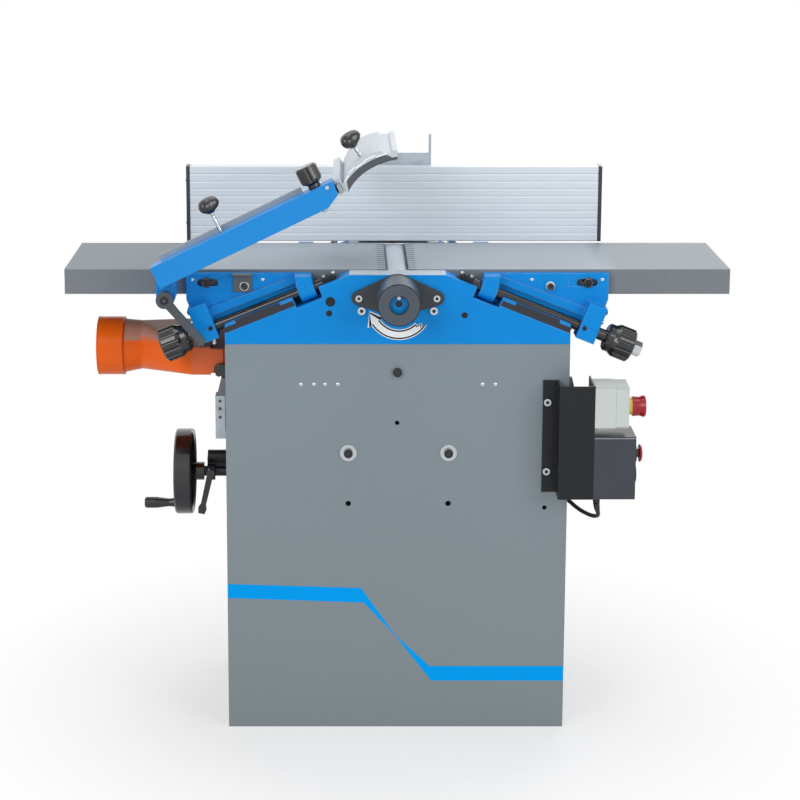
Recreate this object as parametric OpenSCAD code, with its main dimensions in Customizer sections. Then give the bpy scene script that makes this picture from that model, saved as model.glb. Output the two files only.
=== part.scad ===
// Combination planer thicknesser on a sheet steel cabinet.
// X runs along the tables, Y away from the operator, Z up from the floor.

/* [Cabinet] */
// Length of the cabinet
cab_l = 614; // [590:2:640]
// Depth of the cabinet, front to back
cab_d = 350; // [340:2:372]
// Height of the cabinet up to the castings
cab_h = 723; // [712:1:724]
// Sheet thickness of the cabinet
sheet_t = 3; // [2:0.5:4]
// Width of the folded corner posts
post_w = 32; // [26:1:34]
// Height of the end panels, below the thicknessing passage
end_panel_h = 488; // [482:1:490]
// Thickness of the floor plate
floor_t = 8; // [6:1:12]
// Spacing of the floor bolts along the machine
floor_bolt_x = 520; // [480:5:540]
// Spacing of the floor bolts across the machine
floor_bolt_y = 240; // [200:5:260]
// Radius of the floor bolt holes
floor_hole_r = 6.5; // [5:0.5:8]

/* [Accessory pad] */
// Spacing of the accessory holes along the machine
pad_x = 180; // [160:2:200]
// Vertical spacing of the accessory holes
pad_z = 95; // [80:1:100]
// Height of the lower accessory holes
pad_low_z = 428; // [415:1:435]
// Sideways place of the accessory holes
pad_off_x = 2.5; // [-5:0.5:10]
// Radius of the accessory holes
pad_hole_r = 5; // [4:0.5:6]

/* [Tables] */
// Overall length across both tables
tables_l = 1190; // [1150:10:1240]
// Width of the tables
table_w = 260; // [258:1:262]
// Height of the table tops above the floor
table_z = 850; // [849:0.5:852]
// Depth of the table edges
table_edge_h = 45; // [40:1:46]
// Thickness of the table plate
table_plate_t = 14; // [10:1:18]
// Thickness of the table edges and ribs
table_rib_t = 12; // [8:1:14]
// Gap between the table lips
mouth_gap = 40; // [38:0.5:42]
// Length of the comb slots in the lips
comb_l = 15; // [10:1:18]
// Width of a comb slot
comb_w = 3.5; // [2:0.5:5]
// Distance from slot to slot
comb_pitch = 20; // [18:1:22]

/* [Inclined ways] */
// Slope of the ways and rods
slope = 22; // [21.8:0.1:22.2]
// Radius of a guide rod
rod_r = 10; // [8:0.5:10.5]
// Length of a guide rod
rod_l = 250; // [246:1:254]
// Drop from the table top to the upper rod end
rod_drop = 20.8; // [20.4:0.1:21.2]
// Radius of the pin on the upper rod end
rod_pin_r = 6; // [4:0.5:7]
// Radius of the rod bosses
boss_r = 19; // [17:0.5:19.5]
// Thickness of the table brackets
bracket_t = 11; // [9:0.5:12]
// Table travel along the ways
table_travel = 10; // [6:0.5:10]
// Width of the bare way on the casting
way_w = 15; // [10:1:18]
// Length of the bare way
way_l = 133; // [120:1:140]

/* [Adjusting knobs] */
// Length of an adjusting knob
knob_l = 50; // [40:1:56]
// Radius of the knob at its neck end
knob_r1 = 25.5; // [22:0.5:28]
// Radius of the knob at its outer end
knob_r2 = 30; // [26:0.5:31]
// Number of grip flutes
knob_flutes = 14; // [8:1:18]

/* [Cutterblock] */
// Radius of the cutterblock
cutter_r = 36; // [34:0.5:36.5]
// Number of knives
knife_n = 3; // [2:1:4]
// How far the knives stand out
knife_out = 1.2; // [0.6:0.1:1.5]
// Radius of the cutterblock journals
journal_r = 12.5; // [10:0.5:14]
// Outer radius of the cutterblock bearings
bearing_r = 26; // [22:0.5:28]
// Radius of the shaft cover
cover_r = 37.5; // [34:0.5:38]
// How far the shaft cover stands out
cover_l = 88; // [70:1:100]
// Radius of the hole in the shaft cover
cover_hole_r = 15.6; // [12:0.2:18]

/* [Feed rollers] */
// Radius of the feed rollers
roller_r = 15; // [12:0.5:16]
// Distance of a roller from the cutterblock
roller_x = 80; // [72:1:84]
// Radius of the roller journals
roller_pin_r = 8; // [6:0.5:9]

/* [Thicknessing bed] */
// Height of the bed surface at rest
bed_z = 617; // [612:1:622]
// Length of the bed
bed_l = 650; // [630:2:660]
// Width of the bed
bed_w = 256; // [250:1:258]
// Depth of the bed sides
bed_edge_h = 67; // [60:1:72]
// Thickness of the bed plate
bed_plate_t = 12; // [10:1:16]
// Travel of the bed upwards from rest
bed_up = 30; // [20:1:32]
// Travel of the bed downwards from rest
bed_down = 40; // [20:1:42]
// Radius of the lifting column
column_r = 36; // [30:1:40]
// Radius of the elevating screw
screw_r = 12; // [9:0.5:14]

/* [Handwheel] */
// Radius of the handwheel
wheel_r = 80; // [70:1:90]
// Width of the handwheel rim
wheel_rim_w = 33; // [24:1:36]
// Thickness of the handwheel rim
wheel_rim_t = 9; // [7:0.5:12]
// Height of the handwheel axis
wheel_z = 437; // [432:1:440]
// Distance of the handwheel rim from the cabinet
wheel_out = 71; // [66:1:76]
// Length of the turning handle
crank_l = 60; // [50:1:70]
// Radius of the turning handle
crank_r = 10.5; // [9:0.5:12]

/* [Fence] */
// Length of the fence extrusion
fence_l = 776; // [740:2:800]
// Height of the fence extrusion
fence_h = 143; // [135:1:145]
// Thickness of the fence extrusion
fence_t = 27; // [24:0.5:28]
// Clearance of the fence over the tables
fence_gap = 3; // [2.5:0.5:4]
// Number of grooves along the fence face
fence_grooves = 9; // [6:1:10]
// Thickness of the fence end caps
fence_cap_t = 7; // [5:0.5:9]
// Width of the tilt bracket
tilt_w = 142; // [136:1:150]
// Height of the tilt bracket ears
ear_h = 200; // [190:1:204]
// Sheet thickness of the tilt bracket
tilt_t = 4; // [3:0.5:5]
// Length of the fence bar
fence_bar_l = 260; // [240:5:300]

/* [Bridge guard] */
// Angle at which the guard arm is raised
arm_angle = 25.9; // [24:0.1:28]
// Length of the guard arm
arm_l = 352; // [340:1:356]
// Height of the guard arm
arm_h = 40; // [36:1:44]
// Depth of the guard arm
arm_d = 40; // [36:1:44]
// Wall of the guard arm
arm_t = 3; // [2:0.5:4]
// Length of the bridge
bridge_l = 255; // [220:5:260]
// Thickness of the pad under the bridge
pad_t = 5; // [4:0.5:6]
// Length of the guard lever
guard_lever_l = 104; // [90:1:110]

/* [Dust hood] */
// Outer radius of the dust port
port_r = 54; // [50:0.5:56]
// Wall of the dust hood
hood_t = 3; // [2:0.5:4]
// Length of the dust port
port_l = 48; // [40:1:60]
// Height of the duct under the passage
duct_h = 46; // [40:1:50]

/* [Switch gear] */
// Height of the emergency stop box
stop_box_h = 77; // [70:1:80]
// Height of the switch box
switch_box_h = 115; // [105:1:118]
// Sheet thickness of the switch bracket
switch_sheet_t = 3; // [2:0.5:4]
// Travel of the stop and start buttons
button_travel = 4; // [2:0.5:5]

/* [Drive] */
// Radius of the motor
motor_r = 70; // [60:1:76]
// Length of the motor
motor_l = 200; // [180:5:220]
// Radius of the motor pulley
motor_pulley_r = 45; // [38:1:48]
// Radius of the cutterblock pulley
cutter_pulley_r = 26; // [22:1:27]

/* [Hidden] */
$fn = 32;

// General clearances
run_gap = 0.05;
body_gap = 0.4;
side_gap = 1;
eps = 1;

// Cabinet
half_l = cab_l / 2;
half_d = cab_d / 2;
front_y = -half_d;
frame_in_y = table_w / 2 + side_gap;
frame_t = half_d - frame_in_y;
frame_top_z = table_z - 1;

// Inclined rods, described for the right-hand front one
rod_line_y = table_w / 2 + side_gap + bracket_t + rod_r;
rod_top_x = half_l - 174;
rod_top_z = table_z - rod_drop;
rod_wall_y = rod_line_y + rod_r + side_gap;
corner_x = rod_top_x - (frame_top_z - rod_top_z) / tan(slope);
recess_s0 = 8;
recess_s1 = 58;
recess_depth = boss_r + 1;
trough_depth = rod_r + 2;
upper_boss_s0 = recess_s0 + 8;
upper_boss_l = recess_s1 - upper_boss_s0 - table_travel - 3;
lower_boss_s0 = 206;
lower_boss_l = 34;
rod_pin_l = 30;
trough_s0 = -1;
trough_l = 401;
trough_open = 60;

// Cutterblock
knife_r = cutter_r + knife_out;
cutter_z = table_z - knife_r - 0.3;
cutter_l = table_w - 6;
bearing_l = 15;
bearing_y = frame_in_y + 2;

// Frames, bottom and height of the feed rollers
roller_z = cutter_z - knife_r - 0.8 + roller_r;
roller_l = table_w - 30;

function axis_z(x) = rod_top_z - (x - rod_top_x) * tan(slope);
function bezier(p, n) = [for (i = [0 : n]) let (t = i / n)
    (1 - t) * (1 - t) * p[0] + 2 * t * (1 - t) * p[1] + t * t * p[2]];

// A profile drawn in X and Z, extruded between two depths
module slab_xz(y0, y1) {
    translate([0, y1, 0])
        rotate([90, 0, 0])
            linear_extrude(y1 - y0)
                children();
}

// A profile drawn in Y and Z, extruded between two lengths
module slab_yz(x0, x1) {
    translate([x0, 0, 0])
        rotate([90, 0, 90])
            linear_extrude(x1 - x0)
                children();
}

// A box given by its two corners
module span(a, b) {
    translate(a)
        cube(b - a);
}

// A cylinder along X or along Y
module rod_x(r, x0, x1) {
    translate([x0, 0, 0])
        rotate([0, 90, 0])
            cylinder(h = x1 - x0, r = r);
}

module rod_y(r, y0, y1) {
    translate([0, y0, 0])
        rotate([-90, 0, 0])
            cylinder(h = y1 - y0, r = r);
}

module left_right() {
    for (k = [0, 1])
        mirror([k, 0, 0])
            children();
}

module front_back() {
    for (k = [0, 1])
        mirror([0, k, 0])
            children();
}

// Local frame of a rod: X runs down the rod, Z stands square to it
module on_rod() {
    translate([rod_top_x, 0, rod_top_z])
        rotate([0, slope, 0])
            children();
}

// Cabinet

module base_plate() {
    color("#5c6668")
        difference() {
            span([-half_l + sheet_t + body_gap, front_y + sheet_t + body_gap, 0],
                [half_l - sheet_t - body_gap, half_d - sheet_t - body_gap, floor_t]);
            for (x = [-1, 1], y = [-1, 1])
                translate([x * floor_bolt_x / 2, y * floor_bolt_y / 2, -eps])
                    cylinder(h = floor_t + 2 * eps, r = floor_hole_r);
        }
}

// A long panel with its folded corner posts and top flange
module long_panel() {
    span([-half_l, front_y, 0], [half_l, front_y + sheet_t, cab_h]);
    left_right()
        span([half_l - sheet_t, front_y, 0], [half_l, front_y + sheet_t + post_w, cab_h]);
    span([-half_l, front_y, cab_h - sheet_t], [half_l, front_y + sheet_t + post_w, cab_h]);
}

label_bolt_z = 672;
label_hole_z = 578.6;
side_hole = [half_l - 40.4, 420.4];
bracket_bolts_x = half_l - 39;
bracket_bolts_z = [490, 618];
small_hole_r = 4;

module front_panel() {
    color("#6f7a7c")
        difference() {
            long_panel();
            for (x = [-1, 1], z = [0, 1])
                translate([pad_off_x + x * pad_x / 2, 0, pad_low_z + z * pad_z])
                    rod_y(pad_hole_r, front_y - eps, front_y + sheet_t + eps);
            for (p = [[0, label_bolt_z], [0, label_hole_z], side_hole])
                translate([p[0], 0, p[1]])
                    rod_y(small_hole_r, front_y - eps, front_y + sheet_t + eps);
            for (z = bracket_bolts_z)
                translate([bracket_bolts_x, 0, z])
                    rod_y(small_hole_r, front_y - eps, front_y + sheet_t + eps);
        }
}

motor_z = 200;
motor_shaft_r = 12;

module rear_panel() {
    color("#6f7a7c")
        difference() {
            mirror([0, 1, 0])
                long_panel();
            translate([0, 0, motor_z])
                rod_y(motor_shaft_r + 8, half_d - sheet_t - eps, half_d + eps);
        }
}

// The end panels close the cabinet below the passage
module end_panel() {
    difference() {
        span([half_l - 2 * sheet_t, front_y + sheet_t, floor_t],
            [half_l - sheet_t, half_d - sheet_t, end_panel_h]);
        children();
    }
}

bush_r = 17;
cable_hole_y = -120;
cable_hole_z = 424.8;
cable_r = 3.75;
cable_gap = 1.6;

module left_panel() {
    color("#6f7a7c")
        mirror([1, 0, 0])
            end_panel()
                translate([0, 0, wheel_z])
                    rod_x(bush_r - 3, half_l - 2 * sheet_t - eps, half_l);
}

module right_panel() {
    color("#6f7a7c")
        end_panel()
            for (p = [[cable_hole_y, cable_hole_z], back_hole])
                translate([0, p[0], p[1]])
                    rod_x(cable_r + cable_gap, half_l - 2 * sheet_t - eps, half_l);
}

// Castings that carry the tables and the cutterblock

module frame_outline() {
    recess_x0 = rod_top_x + recess_s0 * cos(slope);
    recess_x1 = rod_top_x + recess_s1 * cos(slope);
    polygon([[0, cab_h], [half_l, cab_h], [half_l, axis_z(half_l)],
        [recess_x1, axis_z(recess_x1)],
        [recess_x1 - recess_depth * sin(slope), axis_z(recess_x1) - recess_depth * cos(slope)],
        [recess_x0 - recess_depth * sin(slope), axis_z(recess_x0) - recess_depth * cos(slope)],
        [recess_x0, axis_z(recess_x0)],
        [corner_x, frame_top_z], [0, frame_top_z]]);
}

// Space behind the front wall of a casting, where rod and bracket run
module frame_trough() {
    on_rod() {
        span([trough_s0, -rod_wall_y, -trough_depth],
            [trough_s0 + trough_l, -frame_in_y + eps, trough_open]);
        span([recess_s0, -rod_wall_y, -recess_depth - 1], [recess_s1, -frame_in_y + eps, trough_open]);
    }
}

blind_wall = 10;
way_s0 = recess_s1 + 1;
tab_l = 24;
tab_h = 5;
way_t = 6;

module way_shape(extra) {
    on_rod() {
        span([way_s0, front_y - extra, -way_w], [way_s0 + way_l, front_y + way_t, -tab_h]);
        span([way_s0 + tab_l, front_y - extra, -tab_h - eps],
            [way_s0 + way_l - tab_l, front_y + way_t, extra]);
    }
}

module casting(roller_end) {
    difference() {
        left_right()
            slab_xz(front_y, -frame_in_y)
                frame_outline();
        left_right()
            frame_trough();
        left_right()
            way_shape(2);
        left_right()
            on_rod()
                translate([0, -rod_line_y, 0])
                    rod_x(rod_pin_r + run_gap, -rod_pin_l - 2, 0);
        translate([0, 0, cutter_z]) {
            rod_y(bearing_r, -bearing_y - bearing_l, -frame_in_y + eps);
            rod_y(bearing_r - 5, front_y - eps, -frame_in_y);
        }
        for (x = [-1, 1])
            translate([x * roller_x, 0, roller_z])
                rod_y(roller_pin_r + run_gap, roller_end, -frame_in_y + eps);
        translate([-finger_x, 0, finger_z])
            rod_y(finger_pin_r + run_gap, front_y + blind_wall, -frame_in_y + eps);
    }
}

module front_frame() {
    color("#1b83d6")
        casting(front_y + blind_wall);
}

module rear_frame() {
    color("#1b83d6")
        mirror([0, 1, 0])
            casting(front_y - eps);
}

module way_strips() {
    color("#4a4a52")
        front_back()
            left_right()
                way_shape(0);
}

// Half caps that hold the upper rod pins
keeper_l = 24;
keeper_w = 22;

module rod_keepers() {
    color("#2a2a2c")
        front_back()
            left_right()
                on_rod()
                    translate([0, -rod_line_y, 0])
                        difference() {
                            span([-keeper_l - 2, -keeper_w / 2, 0.05], [-2, keeper_w / 2, rod_r]);
                            rod_x(rod_pin_r + run_gap, -rod_pin_l, 0);
                            for (s = [-20, -13])
                                span([s - 1.5, -keeper_w, rod_r - 2.5], [s + 1.5, keeper_w, rod_r + 1]);
                        }
}

// Cutterblock and its bearings

cover_wall = 4;
flange_t = 5;
lobe_r = 13;
lobe_x = 69;
lobe_drop = 5;
lower_screw_x = 64;
lower_screw_drop = 28;
screw_hole_r = 3;

module shaft_cover() {
    color("#26272a")
        translate([0, 0, cutter_z])
            difference() {
                union() {
                    rod_y(cover_r, front_y - cover_l, front_y);
                    slab_xz(front_y - flange_t, front_y)
                        hull() {
                            circle(r = cover_r + 1);
                            left_right()
                                translate([lobe_x, -lobe_drop])
                                    circle(r = lobe_r);
                        }
                }
                rod_y(cover_r - cover_wall, front_y - cover_l + cover_wall, front_y + eps);
                rod_y(cover_hole_r, front_y - cover_l - eps, front_y);
                left_right()
                    translate([lobe_x, 0, -lobe_drop])
                        rod_y(screw_hole_r, front_y - flange_t - eps, front_y + eps);
            }
}

// Socket head screw standing on a face towards the operator
module socket_screw(r, h) {
    difference() {
        rod_y(r, -h, 0);
        rotate([90, 0, 0])
            translate([0, 0, h - r / 2])
                cylinder(h = r, r = r / 2, $fn = 6);
    }
}

washer_r = 15;
washer_t = 2;
big_screw_r = 8;

module housing_screws() {
    color("#c9ccce") {
        translate([0, 0, cutter_z]) {
            left_right()
                translate([lobe_x, front_y - flange_t, -lobe_drop])
                    socket_screw(6, 4);
            left_right()
                translate([lower_screw_x, front_y, -lower_screw_drop])
                    socket_screw(7, 6);
        }
        translate([0, front_y, label_bolt_z])
            socket_screw(big_screw_r, 6);
        for (x = [-1, 1])
            translate([pad_off_x + x * pad_x / 2, front_y, pad_low_z + pad_z]) {
                rod_y(washer_r, -washer_t, 0);
                translate([0, -washer_t, 0])
                    socket_screw(big_screw_r, 6);
            }
        for (z = bracket_bolts_z)
            translate([bracket_bolts_x, front_y - switch_sheet_t, z])
                socket_screw(6.5, 5);
    }
}

module bearings() {
    color("silver")
        front_back()
            translate([0, 0, cutter_z])
                difference() {
                    rod_y(bearing_r - run_gap, -bearing_y - bearing_l + 0.1, -bearing_y);
                    rod_y(journal_r, -bearing_y - bearing_l - eps, -bearing_y + eps);
                }
}

pulley_w = 24;
pulley_y = half_d + 18;
shaft_end_y = pulley_y + pulley_w + 3;
gullet_w = 16;
gullet_d = 9;
knife_t = 3;
knife_in = 0.5;

module cutterblock() {
    color("#b9bdc0")
        translate([0, 0, cutter_z]) {
            difference() {
                rod_y(cutter_r, -cutter_l / 2, cutter_l / 2);
                for (k = [0 : knife_n - 1])
                    rotate([0, 60 + k * 360 / knife_n, 0])
                        span([-gullet_w / 2, -cutter_l / 2 - eps, cutter_r - gullet_d],
                            [gullet_w / 2, cutter_l / 2 + eps, cutter_r + eps]);
            }
            for (k = [0 : knife_n - 1])
                rotate([0, 60 + k * 360 / knife_n, 0])
                    span([gullet_w / 2 - knife_t, -cutter_l / 2 + knife_in, cutter_r - gullet_d - knife_in],
                        [gullet_w / 2 + knife_in, cutter_l / 2 - knife_in, cutter_r + knife_out - 1]);
            rod_y(journal_r - run_gap, front_y + 8, -cutter_l / 2 + eps);
            rod_y(journal_r - run_gap, cutter_l / 2 - eps, shaft_end_y);
        }
}

module pulley(r) {
    difference() {
        rod_y(r, pulley_y, pulley_y + pulley_w);
        children();
    }
}

module cutter_pulley() {
    color("#4c4f52")
        translate([0, 0, cutter_z])
            pulley(cutter_pulley_r)
                rod_y(journal_r, pulley_y - eps, shaft_end_y);
}

motor_y = half_d - sheet_t - motor_l - 8;
motor_foot_w = 110;
pulley_hole_in = 18;
pulley_hole_r = 7;
shaft_in = 28;

module motor() {
    color("#50565a")
        difference() {
            union() {
                translate([0, 0, motor_z]) {
                    rod_y(motor_r, motor_y, motor_y + motor_l);
                    for (a = [0 : 15 : 345])
                        rotate([0, a, 0])
                            span([-1.5, motor_y + 20, motor_r - 1], [1.5, motor_y + motor_l - 20, motor_r + 5]);
                }
                span([-motor_foot_w / 2, motor_y + 30, floor_t],
                    [motor_foot_w / 2, motor_y + motor_l - 30, motor_z]);
            }
            translate([0, 0, motor_z])
                rod_y(motor_shaft_r + run_gap, motor_y + motor_l - shaft_in - 2, motor_y + motor_l + eps);
        }
}

module motor_pulley() {
    color("#4c4f52")
        translate([0, 0, motor_z]) {
            pulley(motor_pulley_r)
                for (a = [0 : 72 : 288])
                    rotate([0, a, 0])
                        translate([0, 0, motor_pulley_r - pulley_hole_in])
                            rod_y(pulley_hole_r, pulley_y - eps, pulley_y + pulley_w + eps);
            rod_y(motor_shaft_r, motor_y + motor_l - shaft_in, pulley_y);
        }
}

belt_t = 4;
belt_w = 16;

module belt_loop(extra) {
    hull() {
        translate([0, cutter_z])
            circle(r = cutter_pulley_r + extra);
        translate([0, motor_z])
            circle(r = motor_pulley_r + extra);
    }
}

module drive_belt() {
    color("#202123")
        slab_xz(pulley_y + 4, pulley_y + 4 + belt_w)
            difference() {
                belt_loop(belt_t + body_gap);
                belt_loop(body_gap);
            }
}

// Feed rollers and their closed gearbox behind the rear casting

module roller() {
    translate([0, 0, roller_z]) {
        rod_y(roller_r, -roller_l / 2, roller_l / 2);
        rod_y(roller_pin_r, front_y + blind_wall + 1, half_d + gearbox_t / 2);
    }
}

module infeed_roller() {
    color("#8e9294")
        translate([-roller_x, 0, 0])
            roller();
}

module outfeed_roller() {
    color("#8e9294")
        translate([roller_x, 0, 0])
            roller();
}

gearbox_t = 14;
gearbox_drop = 40;

module feed_gearbox() {
    color("#3c4043")
        difference() {
            slab_xz(half_d, half_d + gearbox_t)
                difference() {
                    hull() {
                        left_right()
                            translate([roller_x, roller_z])
                                circle(r = 17);
                        translate([0, roller_z - gearbox_drop])
                            circle(r = 22);
                    }
                    translate([0, cutter_z])
                        circle(r = journal_r + 8);
                }
            for (x = [-1, 1])
                translate([x * roller_x, 0, roller_z])
                    rod_y(roller_pin_r + run_gap, half_d - eps, half_d + gearbox_t / 2 + body_gap);
        }
}

cover_top_z = table_z - 2;
rear_cover_w1 = 102;
rear_cover_w2 = 64;
rear_cover_d = 62;
rear_cover_low = motor_z - 70;
rear_cover_mid = cab_h - 40;

function rear_outline(in) = [
    [-rear_cover_w2 + in, rear_cover_low + in], [rear_cover_w2 - in, rear_cover_low + in],
    [rear_cover_w2 - in, rear_cover_mid - 80], [rear_cover_w1 - in, rear_cover_mid],
    [rear_cover_w1 - in, cover_top_z - 30], [rear_cover_w1 - 30 - in / 2, cover_top_z - in],
    [-rear_cover_w1 + 30 + in / 2, cover_top_z - in], [-rear_cover_w1 + in, cover_top_z - 30],
    [-rear_cover_w1 + in, rear_cover_mid], [-rear_cover_w2 + in, rear_cover_mid - 80]];

module rear_cover() {
    color("#6f7a7c")
        difference() {
            slab_xz(half_d, half_d + rear_cover_d)
                polygon(rear_outline(0));
            slab_xz(half_d - eps, half_d + rear_cover_d - sheet_t)
                polygon(rear_outline(sheet_t));
        }
}

finger_x = 122;
finger_z = roller_z + 5;
finger_pin_r = 5;
finger_n = 10;
finger_pitch = 22;
finger_len = 30;

module kickback_fingers() {
    color("#57595c")
        translate([-finger_x, 0, finger_z]) {
            rod_y(finger_pin_r, front_y + blind_wall + 1, half_d - blind_wall - 1);
            for (k = [0 : finger_n - 1])
                translate([0, (k - (finger_n - 1) / 2) * finger_pitch, 0])
                    slab_xz(-4, 4)
                        polygon([[-6, 4], [6, 4], [7, -4], [5, -finger_len], [-5, -finger_len], [-7, -4]]);
        }
}

// Thicknessing bed and its lift

bed_clear = 64;
column_bottom = 500;

module bed_pockets() {
    x_rib = [for (k = [0 : 3]) bed_clear + 8 + k * (bed_l / 2 - bed_clear - 8) / 3];
    y_side = bed_w / 2 - table_rib_t;
    low = bed_z - bed_edge_h - eps;
    high = bed_z - bed_plate_t;
    span([-bed_clear, -y_side, low], [bed_clear, y_side, high]);
    left_right()
        for (k = [0 : 2], y = [-1, 1])
            translate([0, y * (y_side + 4) / 2, 0])
                span([x_rib[k], -(y_side - 4) / 2, low], [x_rib[k + 1] - 8, (y_side - 4) / 2, high]);
}

bed_lug_h = 33;

module bed() {
    color("#9aa0a3")
        difference() {
            union() {
                difference() {
                    span([-bed_l / 2, -bed_w / 2, bed_z - bed_edge_h], [bed_l / 2, bed_w / 2, bed_z]);
                    bed_pockets();
                }
                translate([0, 0, column_bottom])
                    cylinder(h = bed_z - bed_plate_t - column_bottom + 1, r = column_r - run_gap);
                left_right()
                    slab_xz(-bed_w / 2, -bed_w / 2 + 10)
                        polygon([[bed_l / 2 - 16, bed_z - 1], [bed_l / 2, bed_z - 1],
                            [bed_l / 2 - 8, bed_z + bed_lug_h], [bed_l / 2 - 16, bed_z + bed_lug_h]]);
            }
            translate([0, 0, column_bottom - eps])
                cylinder(h = bed_z - column_bottom - bed_plate_t, r = screw_r + run_gap);
        }
}

plate_t = 3;
end_plate_h = 80;
end_plate_d = 26;
end_plate_in = 15;
end_screw_in = 6;
end_screw_r = 3;

module bed_end_plates() {
    color("#c3c8cb")
        left_right()
            difference() {
                union() {
                    span([bed_l / 2, -bed_w / 2, bed_z - end_plate_h],
                        [bed_l / 2 + plate_t, -bed_w / 2 + end_plate_d, bed_z]);
                    span([bed_l / 2 - end_plate_in, -bed_w / 2 - plate_t, bed_z - end_plate_h],
                        [bed_l / 2 + plate_t, -bed_w / 2, bed_z]);
                }
                for (z = [10, 24, 40])
                    translate([bed_l / 2 - end_screw_in, 0, bed_z - z])
                        rod_y(end_screw_r, -bed_w / 2 - plate_t - eps, -bed_w / 2 + eps);
            }
}

housing_r = 52;
housing_low = wheel_z - 51;
housing_top = bed_z - bed_edge_h - 5;
gear_room_r = 40;
gear_room_low = wheel_z - 27;
gear_room_top = wheel_z + 24;
beam_w = 60;
beam_h = 24;

module lift_housing() {
    color("#5c6668")
        difference() {
            union() {
                translate([0, 0, housing_low])
                    cylinder(h = housing_top - housing_low, r = housing_r);
                span([-beam_w / 2, front_y + sheet_t, housing_low],
                    [beam_w / 2, half_d - sheet_t, housing_low + beam_h]);
            }
            translate([0, 0, gear_room_low])
                cylinder(h = gear_room_top - gear_room_low, r = gear_room_r);
            translate([0, 0, housing_low - eps])
                cylinder(h = housing_top - housing_low + 2 * eps, r = screw_r + run_gap);
            translate([0, 0, gear_room_top - eps])
                cylinder(h = housing_top - gear_room_top + 2 * eps, r = column_r);
            span([-housing_r - eps, -27, gear_room_low], [0, 27, gear_room_top]);
        }
}

bevel_r1 = 22;
bevel_r0 = 15;
bevel_n = 16;
bevel_slack = 0.5;

// Bevel gear whose pitch cone has its apex at the origin and opens downwards
module bevel_gear(bore) {
    difference() {
        rotate_extrude()
            polygon([[bore, -bevel_r1 - 4], [bevel_r1 - 4, -bevel_r1 - 4], [bevel_r1 - bevel_slack, -bevel_r1],
                [bevel_r0 - bevel_slack, -bevel_r0], [bore, -bevel_r0]]);
        for (a = [0 : bevel_n - 1])
            rotate([0, 0, a * 360 / bevel_n])
                translate([bevel_r0 - 2, 0, -bevel_r0 + 1])
                    rotate([0, 45, 0])
                        span([-3, -1.2, -1.6], [14, 1.2, 3]);
    }
}

screw_top_z = bed_z - bed_plate_t - bed_down - 5;

module elevating_screw() {
    color("#a4a8aa") {
        translate([0, 0, housing_low])
            cylinder(h = screw_top_z - housing_low, r = screw_r);
        translate([0, 0, wheel_z])
            bevel_gear(screw_r - 0.5);
    }
}

shaft_r = 9.5;
wheel_x1 = half_l + wheel_out;
wheel_x2 = wheel_x1 + wheel_rim_w;
hub_r = 17;
spoke_w = 16;
crank_off = wheel_r - 18;

module wheel_shaft() {
    color("#3a3c3e")
        translate([0, 0, wheel_z]) {
            rod_x(shaft_r, -wheel_x1 - 18, -bevel_r0);
            rotate([0, 90, 0])
                bevel_gear(shaft_r - 0.5);
        }
}

module handwheel() {
    color("#1d1e20")
        mirror([1, 0, 0])
            translate([0, 0, wheel_z])
                difference() {
                    union() {
                        rotate([0, 90, 0])
                            rotate_extrude($fn = 72)
                                polygon([[wheel_r - wheel_rim_t, wheel_x1 + 3], [wheel_r - 2, wheel_x1],
                                    [wheel_r, wheel_x1 + 3], [wheel_r, wheel_x2 - 3],
                                    [wheel_r - 3, wheel_x2], [wheel_r - wheel_rim_t, wheel_x2 - 2]]);
                        rod_x(hub_r, wheel_x1 - 20, wheel_x1 + 10);
                        for (a = [0, 120, 240])
                            rotate([a + 180, 0, 0])
                                translate([0, spoke_w / 2, 0])
                                    rotate([90, 0, 0])
                                        linear_extrude(spoke_w)
                                            polygon([[wheel_x1 - 6, hub_r - 4], [wheel_x1 + 7, hub_r - 4],
                                                [wheel_x2 - 3, wheel_r - wheel_rim_t + 1],
                                                [wheel_x2 - 17, wheel_r - wheel_rim_t + 1]]);
                        translate([0, 0, -crank_off]) {
                            rod_x(11, wheel_x2 - 24, wheel_x2);
                            rod_x(4, wheel_x2 - eps, wheel_x2 + crank_l - 4);
                        }
                    }
                    rod_x(shaft_r + run_gap, wheel_x1 - 21, wheel_x1 + 11);
                }
}

module crank_handle() {
    color("#1d1e20")
        mirror([1, 0, 0])
            translate([wheel_x2 + body_gap, 0, wheel_z - crank_off])
                rotate([0, 90, 0])
                    difference() {
                        rotate_extrude()
                            polygon([[0, 0], [crank_r - 3, 0], [crank_r - 2, 4], [crank_r - 3, 14],
                                [crank_r, crank_l - 22], [crank_r, crank_l - 3], [crank_r - 2, crank_l],
                                [0, crank_l]]);
                        translate([0, 0, -eps])
                            cylinder(h = crank_l - 2, r = 4 + run_gap);
                    }
}

lock_x = half_l + 38;
lock_z = wheel_z + 29;
lock_r = 12;
lock_pin_r = 4;
lock_rise = 4;

module shaft_bush() {
    color("#222325")
        mirror([1, 0, 0])
            difference() {
                union() {
                    translate([0, 0, wheel_z]) {
                        rod_x(bush_r - 3 - run_gap, half_l - 2 * sheet_t, half_l - sheet_t);
                        rod_x(bush_r + 4, half_l - sheet_t, half_l + 4);
                        rod_x(bush_r, lock_x - 7, lock_x + 7);
                    }
                    translate([0, 0, lock_z])
                        rod_x(lock_r, half_l - sheet_t, lock_x + 6);
                    span([half_l + 3, -6, wheel_z + shaft_r + 2], [lock_x + 7, 6, lock_z]);
                }
                translate([0, 0, wheel_z])
                    rod_x(shaft_r + run_gap, half_l - 20, lock_x + 20);
                translate([lock_x, 0, wheel_z + lock_rise])
                    rod_y(lock_pin_r + run_gap, -bush_r - 2, -shaft_r - 0.5);
            }
}

lever_pivot = [-lock_x, -bush_r - 9, wheel_z + lock_rise];

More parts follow.
